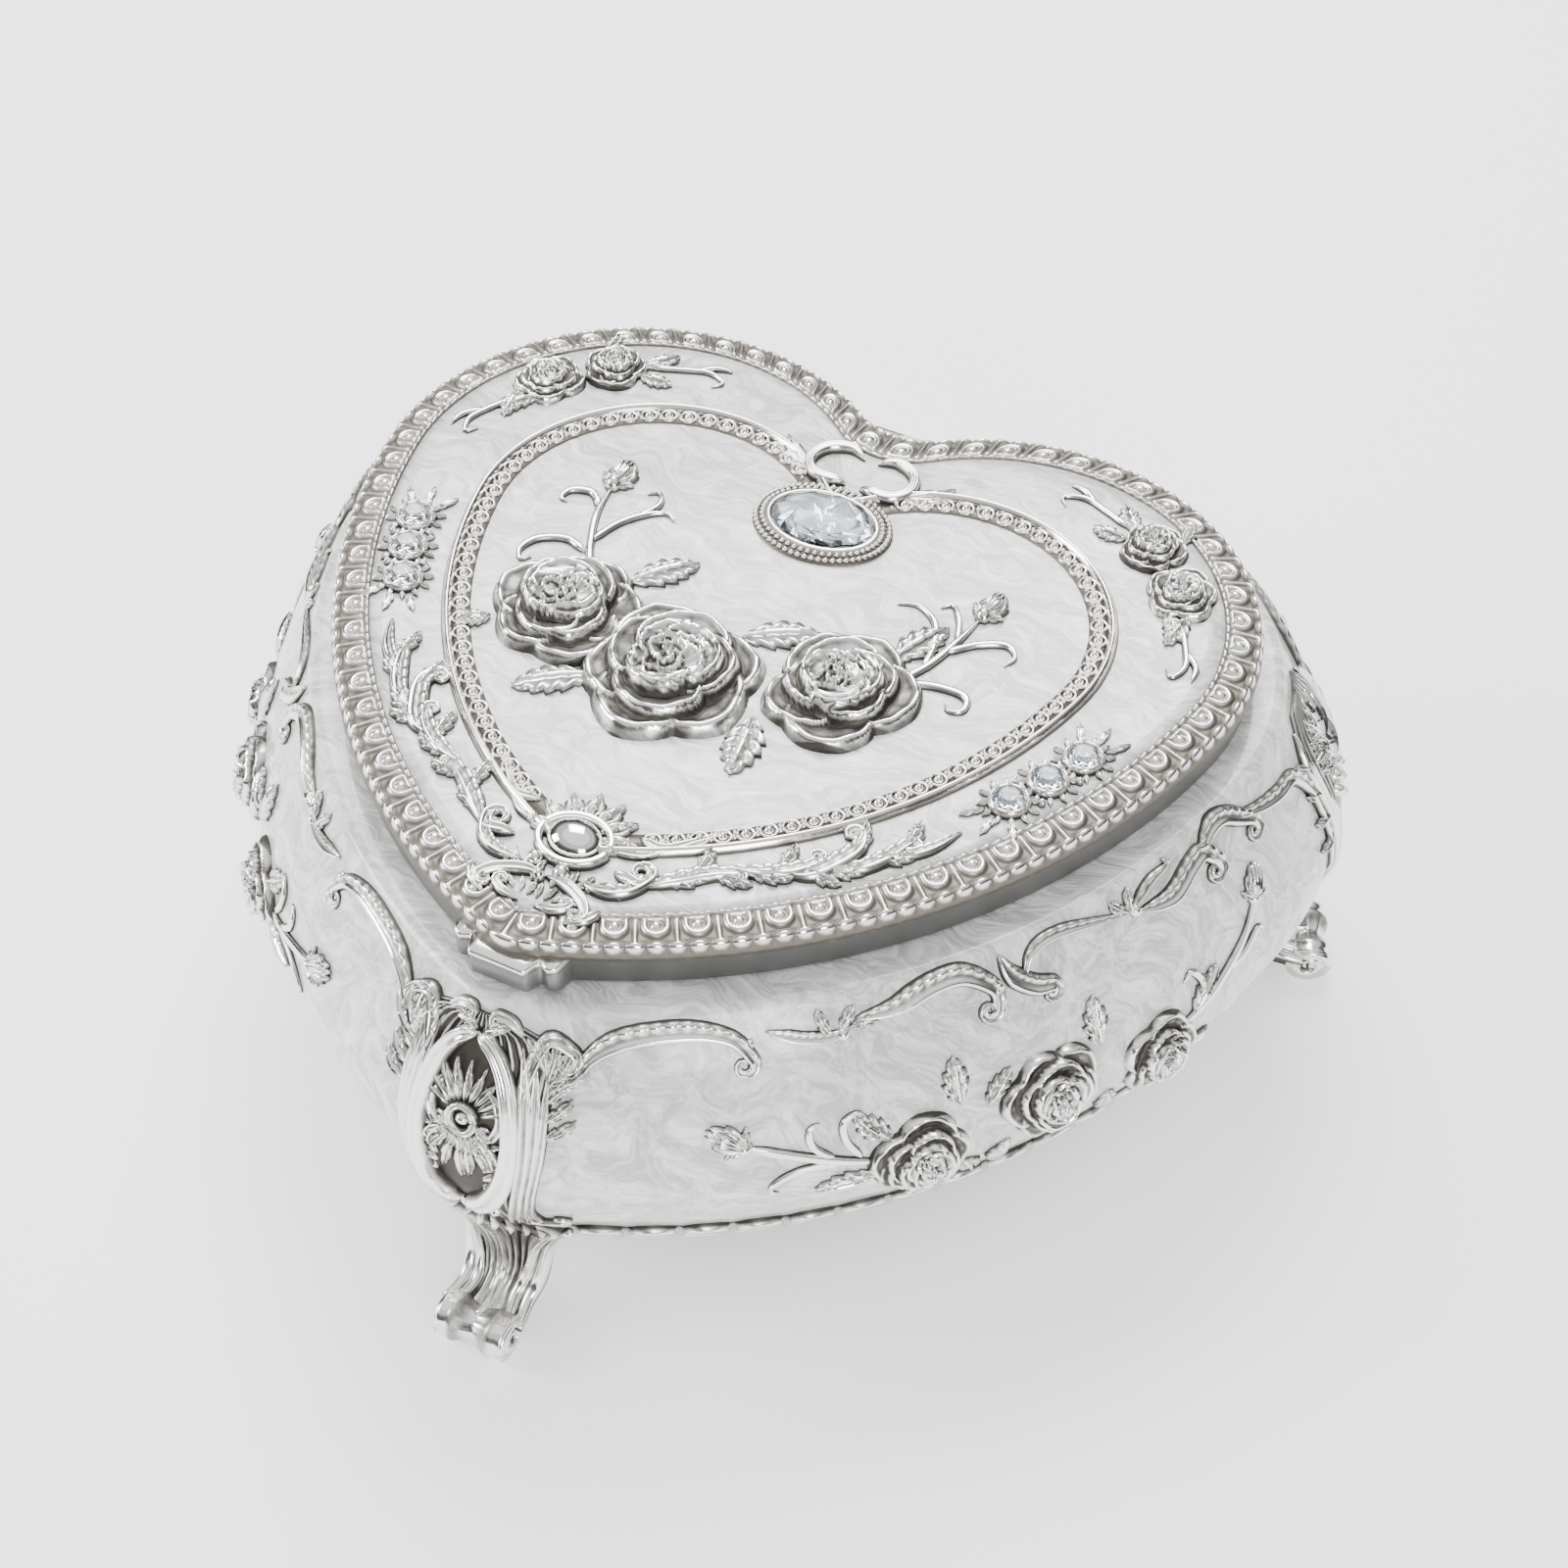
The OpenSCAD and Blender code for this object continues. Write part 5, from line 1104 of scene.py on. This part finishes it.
# The margin garlands, the shell and arch at the tip, and the open bow behind the crystal
margin = []
for points, wide, tall, roll in [
        ([(10.4, -38.6), (13.0, -36.0), (16.0, -33.4), (18.6, -32.0)], 1.6, 0.95, (0.8, -1)),
        ([(17.4, -31.6), (20.4, -30.8), (23.6, -28.8), (25.8, -26.2)], 1.5, 0.95, (0.8, 1)),
        ([(23.0, -29.6), (25.6, -28.4), (27.4, -25.6), (28.6, -22.6), (28.2, -20.6)], 1.8, 1.05, (0.9, 1)),
        ([(27.4, -26.0), (30.0, -25.0), (32.0, -22.2), (33.4, -19.0)], 1.5, 0.95, (0.8, -1)),
        ([(31.6, -22.0), (34.0, -20.6), (36.2, -18.0), (37.8, -14.6)], 1.2, 0.8, None)]:
    margin += scroll(rolled(points, *roll) if roll else points, 1.4 * wide, 1.25 * tall, ribs=8)
for at, turn, length in [((12.2, -37.0), -60, 4.2), ((14.6, -34.4), -8, 3.8), ((20.0, -31.4), -78, 4.0),
                         ((22.4, -29.6), -10, 3.8), ((26.6, -27.4), -70, 4.4), ((28.6, -23.4), -2, 4.2),
                         ((31.2, -23.0), -66, 3.8), ((33.4, -19.8), -8, 3.6), ((25.4, -28.2), -100, 3.4),
                         ((16.8, -33.4), -92, 3.4)]:
    margin += spray_leaf(at, turn, 1.25 * length, length * 0.62, 1.4, -22, 3)
tip = scroll(rolled([(0.0, -42.2), (2.6, -42.4), (5.2, -43.6), (6.6, -45.0)], 1.0, -1), 1.5, 1.2)
tip += scroll(rolled([(1.0, -46.6), (3.0, -46.4), (4.4, -45.6)], 0.8, 1), 1.1, 1.0)
tip += scroll([(6.4, -38.2), (8.4, -38.6), (10.0, -38.8), (10.6, -37.4), (9.4, -36.4)], 1.5, 1.2)
tip += scroll(rolled([(3.6, -41.2), (6.4, -41.4), (9.0, -40.2), (10.4, -37.6)], 1.3, 1), 1.8, 1.3, ribs=10)
tip += scroll([(8.2, -44.0), (7.2, -46.0), (5.0, -47.4)], 1.3, 1.0)
for k in range(6):
    tip += laid(leaf(3.4 - 0.2 * k, 1.1, 1.0, -24, 1), (1.2 + 1.25 * k, -43.4 + 0.42 * k), -8 - 15 * k)
for k in range(4):
    tip += laid(leaf(2.2, 0.8, 0.9, 20, 1), (0.6 + 0.9 * k, -45.4 + 0.1 * k), 14 - 26 * k)
margin += tip
margin += scroll([(6.4, -32.4), (9.6, -32.6), (12.4, -29.8), (15.0, -26.6)], 1.1, 0.9, (0.1, 0.6))
margin += scroll([(4.6, -35.6), (8.0, -34.6), (11.0, -31.8)], 1.0, 0.8, (0.1, 0.6))
bow = scroll([(1.0, 32.6), (5.0, 32.4), (7.0, 34.6), (6.2, 37.6), (3.4, 39.0), (0.9, 38.0)], 1.4, 1.3, (0.1, 0.2), hollow=0.3)
bow += laid(leaf(7.0, 2.6, 1.1, -26, 1), (6.6, 33.4), -62) + laid(leaf(6.4, 1.8, 1.0, -26, 1), (6.4, 33.0), -78)
margin += bow
fan = []
for k, angle in enumerate(np.linspace(-88, 74, 7)):
    reach = 6.0 + 0.6 * math.cos(math.radians(angle))
    a, b = reach * math.sin(math.radians(angle)), reach * math.cos(math.radians(angle))
    start = (0.42 * a + 0.2, -35.6 + 0.42 * b)
    fan += laid(leaf(4.4, 2.5, 1.3, 0, 1), start, -angle)
    fan += bead([(0.2 + 0.70 * a, -35.6 + 0.70 * b), (0.2 + 0.95 * a, -35.6 + 0.95 * b)], 0.42, 1.5)
fan += bead([(-2.4, -40.5), (1.4, -41.2), (-0.7, -42.6)], [1.05, 1.1, 0.8], 1.5, 14)
t = np.linspace(0, 2 * np.pi, 33)
fan += scroll(np.stack([0.2 + 4.3 * np.cos(t), -36.2 + 3.6 * np.sin(t)], 1), 1.0, 1.2, (0.01, 0.01), hollow=0.1, rows=70)
make_piece("lid_ornament", mapped(mirrored(margin) + fan, on_lid), [silver], "lid")


# ---- Cabochon, bezel, crystal and rhinestones -------------------------------------------------------
# A polished oval knob sits in the shell at the tip. A big oval crystal, cut in facets over silver foil,
# is held by a double row of beads, and six round stones by star-shaped prongs.
def cut_stone(half_a, half_b, low, high, sides, crown):
    """A faceted stone: a flat table, then rings of points, each turned half a side from the last, joined
    by flat facets down to the girdle and the flat back."""
    rings = [(0.0, high)] + [(r, low + (high - low) * z) for r, z in crown] + [(0.97, low), (0.0, low)]
    turn = np.linspace(0, 2 * np.pi, sides, endpoint=False)[:, None]
    r, z = np.array(rings).T
    shift = np.pi / sides * np.array([0.0] + [k % 2 for k in range(len(crown))] + [0.0, 0.0])
    shift[-2] = shift[-3]
    a, b = half_a * r * np.cos(turn + shift), half_b * r * np.sin(turn + shift)
    return xyz(a, b, z + 0 * a)


def foil(half_a, half_b, low, high, sides):
    """The foil behind a stone: rings of facets whose corners stand high and low by turns."""
    turn = np.linspace(0, 2 * np.pi, sides, endpoint=False)[:, None]
    spoke = np.arange(sides)[:, None]
    r = np.array([0.0, 0.28, 0.55, 0.80, 0.97, 0.97, 0.0])
    ring = np.arange(len(r))
    shift = np.pi / sides * (ring % 2) * (ring < 5)
    peak = low + (high - low) * (0.25 + 0.75 * ((spoke + ring) % 2)) * (ring < 5) * (ring > 0)
    a, b = half_a * r * np.cos(turn + shift), half_b * r * np.sin(turn + shift)
    return xyz(a, b, np.where(ring < 5, peak, low))


glass, glass_tree, glass_bsdf, glass_place = shader("crystal_glass", roughness=0.02, colour=(0.93, 0.95, 0.97),
                                                    Transmission_Weight=1.0, IOR=1.54)
put_bump(glass_tree, glass_bsdf, noise(glass_tree, glass_place, 900.0, 2.0), 0.03, 0.00005)
foil_metal, foil_tree, foil_bsdf, foil_place = shader("stone_foil", metallic=1.0, roughness=0.08)
foil_tint = ramp(foil_tree, noise(foil_tree, foil_place, 420.0, 2.0, 0.5), 0.35, 0.65)
foil_tree.links.new(mix_colour(foil_tree, foil_tint, (0.42, 0.47, 0.54), (0.86, 0.90, 0.96)),
                    foil_bsdf.inputs["Base Color"])

bezel_low, bezel_high = (np.array(c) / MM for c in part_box("crystal_bezel"))
crystal_low, crystal_high = (np.array(c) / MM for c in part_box("oval_crystal"))
gem_at = (bezel_low + bezel_high) / 2
gem_a, gem_b = (crystal_high - crystal_low)[:2] / 2
t = np.linspace(0, 2 * np.pi, 97)[:-1][:, None]
profile = np.array([(2.1, -0.3), (2.1, 0.35), (1.5, 0.55), (0.9, 0.75), (0.35, 1.15), (0.0, 1.3), (-0.25, 1.05), (-0.25, -0.3)])
bezel = xyz(gem_at[0] + (gem_a + profile[:, 0]) * np.cos(t), gem_at[1] + (gem_b + profile[:, 0]) * np.sin(t),
            LID_TOP + profile[:, 1] + 0 * t)
bezel_parts = [grid_part(bezel, close_rows=True, close_columns=True, wear_and_shade=np.array([0, 0, .1, .1, .5, 1, .6, 0.0]))]
for count, out, radius, lift in [(60, 1.68, 0.40, 0.5), (52, 0.85, 0.36, 0.75)]:
    turn = np.linspace(0, 2 * np.pi, count, endpoint=False)
    row = np.stack([gem_at[0] + (gem_a + out) * np.cos(turn), gem_at[1] - SHIFT_Y + (gem_b + out) * np.sin(turn)], 1)
    bezel_parts += mapped(laid(bead(row, radius, radius * 0.95, 8), lift=lift), on_lid)
make_piece("bezel", bezel_parts, [warm_silver], "lid", ["crystal_bezel"])
oval = cut_stone(gem_a - 0.1, gem_b - 0.1, LID_TOP + 1.05, crystal_high[2] - 0.1, 12,
                 [(0.20, 0.985), (0.42, 0.93), (0.64, 0.80), (0.83, 0.58), (0.97, 0.28)])
middle = np.array([gem_at[0], gem_at[1], 0.0])
make_piece("oval_gem", [grid_part(oval + middle, close_rows=True)], [glass], "lid", ["oval_crystal"],
           round_off=False)
backing = foil(gem_a - 0.5, gem_b - 0.5, LID_TOP + 0.05, LID_TOP + 1.0, 14)
make_piece("oval_foil", [grid_part(backing + middle, close_rows=True)], [foil_metal], "lid",
           round_off=False)

stone_places = np.array([(x, y) for sign in (-1, 1) for x, y in [(sign * 40.56, -8.02), (sign * 43.08, -3.02), (sign * 45.22, 2.15)]])
stones, foils, settings = [], [], []
for x, y in stone_places:
    at = np.array([x, y + SHIFT_Y, 0.0])
    stones.append(grid_part(cut_stone(2.0, 2.0, LID_TOP + 0.66, LID_TOP + 1.85, 8, [(0.55, 1.0), (0.82, 0.66), (1.0, 0.30)]) + at,
                            close_rows=True))
    foils.append(grid_part(foil(1.9, 1.9, LID_TOP + 0.18, LID_TOP + 0.62, 8) + at, close_rows=True))
    turn = np.linspace(0, 2 * np.pi, 33)
    settings += scroll(np.stack([x + 2.15 * np.cos(turn), y + 2.15 * np.sin(turn)], 1), 0.75, 1.0, (0.01, 0.01), hollow=0.0, rows=40)
    prongs = np.radians(np.arange(8) * 45 + 22)
    settings += bead(np.stack([x + 2.05 * np.cos(prongs), y + 2.05 * np.sin(prongs)], 1), 0.42, 1.75, 8)
    for k in range(12):
        settings += laid(leaf(1.5, 0.62, 0.8, 0, 1, rows=12, columns=7), (x + 2.3 * math.sin(k * math.pi / 6), y + 2.3 * math.cos(k * math.pi / 6)), -30 * k)
for sign in (-1, 1):
    for (x, y), turns in zip([(40.56, -8.02), (45.22, 2.15)], [(-150, 172, 136), (-40, -8, 28)]):
        for turn in turns:
            start = (sign * (x - 2.9 * math.sin(math.radians(turn))), y + 2.9 * math.cos(math.radians(turn)))
            settings += laid(leaf(3.2, 1.1, 0.8, 0, 2, rows=14, columns=7), start, sign * turn)
    for x, y in [(41.8, -5.5), (44.2, -0.4)]:
        settings += bead([(sign * (x - 2.1), y + 0.9), (sign * (x + 2.1), y - 0.9)], 0.5, 0.9)
make_piece("stone_settings", mapped(settings, on_lid), [silver], "lid")
make_piece("small_stones", stones, [glass], "lid", ["round_stones"], round_off=False)
make_piece("small_foils", foils, [foil_metal], "lid", round_off=False)

knob_low, knob_high = (np.array(c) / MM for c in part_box("tip_cabochon"))
lat, lon = np.radians(np.linspace(90, 0, 15))[None, :], np.linspace(0, 2 * np.pi, 49)[:-1][:, None]
knob = xyz(3.35 * np.cos(lat) * np.cos(lon), 2.75 * np.cos(lat) * np.sin(lon), 0.5 + 2.3 * np.sin(lat) + 0 * lon)
knob = np.concatenate([knob, knob[:, -1:] - [0, 0, 0.8], knob[:, :1] * [1, 1, 0] + [0, 0, -0.3]], 1)
knob[..., 0] += 0.2
knob[..., 1] += (knob_low[1] + knob_high[1]) / 2
knob[..., 2] += LID_TOP
polished, polished_tree, polished_bsdf, polished_place = shader("polished_silver", 1.0, 0.07, (0.90, 0.89, 0.87))
polished_tree.links.new(ramp(polished_tree, noise(polished_tree, polished_place, 700.0, 3.0), 0.3, 0.8, 0.05, 0.14),
                        polished_bsdf.inputs["Roughness"])
make_piece("cabochon", [grid_part(knob, close_rows=True)], [polished], "lid", ["tip_cabochon"])


# ---- Thumb tab: a wavy bracket under the lid's tip, cast with its band ------------------------------
# Its front is bent like a bracket in plan: a broad middle, a step, and a small curl at each side. Its face
# is painted darker as shade under the lid, and a thin bright lip runs along its top.
tab_low, tab_high = (np.array(c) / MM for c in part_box("thumb_tab"))
tab_half = (tab_high[0] - tab_low[0]) / 2
tab_x = np.linspace(-1, 1, 61)


def tab_front(x):
    """How far forward the tab stands at x from -1 to 1, as a share of its depth."""
    return (0.56 + 0.44 * step(0.56 - np.abs(x), 0.16) + 0.10 * bell(np.abs(x) - 0.80, 0.10)) * step(0.97 - np.abs(x), 0.10)


tab_parts = []
# The face gets a low wear value in the darker plate, as painted shade under the lid
for low, high, proud, skin, wear_and_shade in [(tab_low[2], tab_high[2] - 1.1, -0.35, 0, 0.12), (tab_high[2] - 1.1, tab_high[2], 0.0, 1, 1.0)]:
    depth = (tab_high[1] - tab_low[1]) - 0.1 + proud
    front = tab_high[1] - 0.3 - depth * tab_front(tab_x)
    edge = np.minimum(front, tab_high[1] - 0.4)
    back = tab_high[1] + 0 * tab_x
    section = np.stack([xyz(tab_x * tab_half, back, low), xyz(tab_x * tab_half, edge + 0.3, low), xyz(tab_x * tab_half, edge, low + 0.3),
                        xyz(tab_x * tab_half, edge, high - 0.3), xyz(tab_x * tab_half, edge + 0.3, high), xyz(tab_x * tab_half, back, high)], 1)
    section = np.concatenate([section[:1].mean(1, keepdims=True) + 0 * section[:1], section,
                              section[-1:].mean(1, keepdims=True) + 0 * section[-1:]])
    tab_parts.append(grid_part(section, close_columns=True, wear_and_shade=wear_and_shade, skin=skin))
make_piece("tip_tab", tab_parts, [shaded_chrome, silver], "lid", ["thumb_tab"])


# ---- Inside: the flocked tray, the mirror and the hinge ---------------------------------------------
# The tray is vacuum-formed plastic flocked pale grey. The mirror is glued under the lid. The hinge is a
# steel pin through knuckles of the casting.
def dress(material, *nodes):
    """The material put on the frame's own meshes."""
    for node in nodes:
        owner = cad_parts[node]
        for place in owner.material_slots:
            place.link = "OBJECT"
            place.material = material


flock, flock_tree, flock_bsdf, flock_place = shader("grey_flock", roughness=0.95, Sheen_Weight=0.6)
nap = noise(flock_tree, flock_place, 2600.0, 3.0)
brushed = noise(flock_tree, flock_place, 60.0, 3.0, 1.2)
nap_share = math_node(flock_tree, "ADD", math_node(flock_tree, "MULTIPLY", nap, 0.5),
                      math_node(flock_tree, "MULTIPLY", ramp(flock_tree, brushed, 0.4, 0.6), 0.5))
flock_tree.links.new(mix_colour(flock_tree, nap_share, (0.30, 0.295, 0.305), (0.50, 0.49, 0.50)), flock_bsdf.inputs["Base Color"])
put_bump(flock_tree, flock_bsdf, nap, 0.7, 0.0003)
dress(flock, "flocked_tray")

mirror, mirror_tree, mirror_bsdf, mirror_place = shader("mirror_glass", 1.0, 0.02, (0.82, 0.85, 0.87), Coat_Weight=0.5)
mirror_tree.links.new(ramp(mirror_tree, noise(mirror_tree, mirror_place, 90.0, 4.0), 0.45, 0.9, 0.015, 0.07),
                      mirror_bsdf.inputs["Roughness"])
dress(mirror, "lid_mirror")


def metal(name, colour, roughness, grain, stretch=(1.0, 1.0, 1.0), bump=0.15):
    """Plain metal with fine grain, stretched along its tool marks, in colour, gloss and level."""
    material, tree, bsdf, place = shader(name, metallic=1.0, roughness=roughness)
    along = tree.nodes.new("ShaderNodeMapping")
    along.inputs["Scale"].default_value = stretch
    tree.links.new(place, along.inputs["Vector"])
    marks = noise(tree, along.outputs[0], grain, 4.0, 0.3)
    stain = noise(tree, place, grain * 0.12, 3.0, 0.6)
    both = math_node(tree, "ADD", math_node(tree, "MULTIPLY", marks, 0.5), math_node(tree, "MULTIPLY", stain, 0.5))
    dark = tuple(0.62 * c for c in colour)
    tree.links.new(mix_colour(tree, ramp(tree, both, 0.3, 0.7), dark, colour), bsdf.inputs["Base Color"])
    tree.links.new(ramp(tree, both, 0.2, 0.8, roughness + 0.12, roughness), bsdf.inputs["Roughness"])
    put_bump(tree, bsdf, both, bump, 0.0001)
    return material


plate_metal = metal("hinge_plate", (0.80, 0.79, 0.77), 0.24, 900.0)
steel = metal("turned_steel", (0.62, 0.63, 0.65), 0.26, 1400.0, (0.15, 1.0, 1.0))
dress(plate_metal, "hinge_bracket", "lid_hinge_leaf")
dress(steel, "hinge_pin")


# ---- Base: the black bottom plate and its screws ----------------------------------------------------
# Pressed steel sheet, sprayed satin black, held up inside the shell's edge by three screws.
black, black_tree, black_bsdf, black_place = shader("satin_black", roughness=0.5, Specular_IOR_Level=0.4)
spray = noise(black_tree, black_place, 1500.0, 3.0)
rubbed = noise(black_tree, black_place, 40.0, 3.0, 0.8)
black_tree.links.new(mix_colour(black_tree, ramp(black_tree, rubbed, 0.4, 0.65), (0.028, 0.028, 0.03), (0.05, 0.05, 0.052)),
                     black_bsdf.inputs["Base Color"])
black_tree.links.new(ramp(black_tree, spray, 0.3, 0.7, 0.40, 0.56), black_bsdf.inputs["Roughness"])
put_bump(black_tree, black_bsdf, spray, 0.35, 0.00012)
dress(black, "bottom_plate")
dress(steel, "plate_screws")


# ---- Movement: bedplate, spring drum, cylinder, comb, governor and lid stop ---------------------------
# Pressed and turned brass and steel on a cast zinc bedplate, with a nylon governor wheel and fly.
brass = metal("turned_brass", (0.80, 0.62, 0.30), 0.24, 1200.0, (1.0, 0.2, 1.0))
wheel_brass = metal("wheel_brass", (0.76, 0.60, 0.30), 0.28, 900.0)
comb_steel = metal("comb_steel", (0.66, 0.67, 0.70), 0.20, 1600.0, (1.0, 0.12, 1.0))
zinc = metal("cast_zinc", (0.60, 0.59, 0.57), 0.42, 700.0, bump=0.5)
nylon, nylon_tree, nylon_bsdf, nylon_place = shader("white_nylon", roughness=0.42, Subsurface_Weight=0.08, Subsurface_Scale=0.001)
nylon_tree.links.new(mix_colour(nylon_tree, noise(nylon_tree, nylon_place, 500.0, 3.0), (0.74, 0.73, 0.68), (0.86, 0.85, 0.80)),
                     nylon_bsdf.inputs["Base Color"])
put_bump(nylon_tree, nylon_bsdf, noise(nylon_tree, nylon_place, 1400.0, 2.0), 0.2, 0.0001)
dress(zinc, "bedplate", "bearing_posts", "governor_frame", "lever_bracket")
dress(brass, "comb_screws", "spring_housing", "winding_key", "music_cylinder")
dress(wheel_brass, "crown_wheel", "cylinder_gear")
dress(comb_steel, "comb")
dress(steel, "movement_screws", "mainspring", "winding_arbor", "cylinder_shaft", "stop_lever", "stop_rod")
dress(nylon, "governor_gear", "governor_fly")

drum_low, drum_high = (np.array(c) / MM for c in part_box("music_cylinder"))
drum_r = 6.0
drum_at = (drum_low + drum_high) / 2
chance = np.random.default_rng(7)
TONES, PIN_TALL, PIN_R = 18, 0.42, 0.16
tones = np.repeat(np.linspace(drum_low[0] + 1.4, drum_high[0] - 1.4, TONES), 12)
pin_turn = np.round(chance.uniform(0, 2 * np.pi, len(tones)) * 16) / 16
side = np.linspace(0, 2 * np.pi, 6, endpoint=False)[None, :, None]
out = np.array([0.0, PIN_TALL, PIN_TALL, -0.2, -0.2])[None, None, :]
wide = np.array([0.0, 0.0, 0.6, 1.0, 0.0])[None, None, :] * PIN_R
along = tones[:, None, None] + wide * np.cos(side) + 0 * out
swing = pin_turn[:, None, None] + wide * np.sin(side) / drum_r
reach = drum_r + out + 0 * swing
pins = xyz(along, drum_at[1] + reach * np.cos(swing), drum_at[2] + reach * np.sin(swing))
make_piece("cylinder_pins", [grid_part(pins, close_rows=True, wear_and_shade=0.9)], [comb_steel], "cylinder", round_off=False)
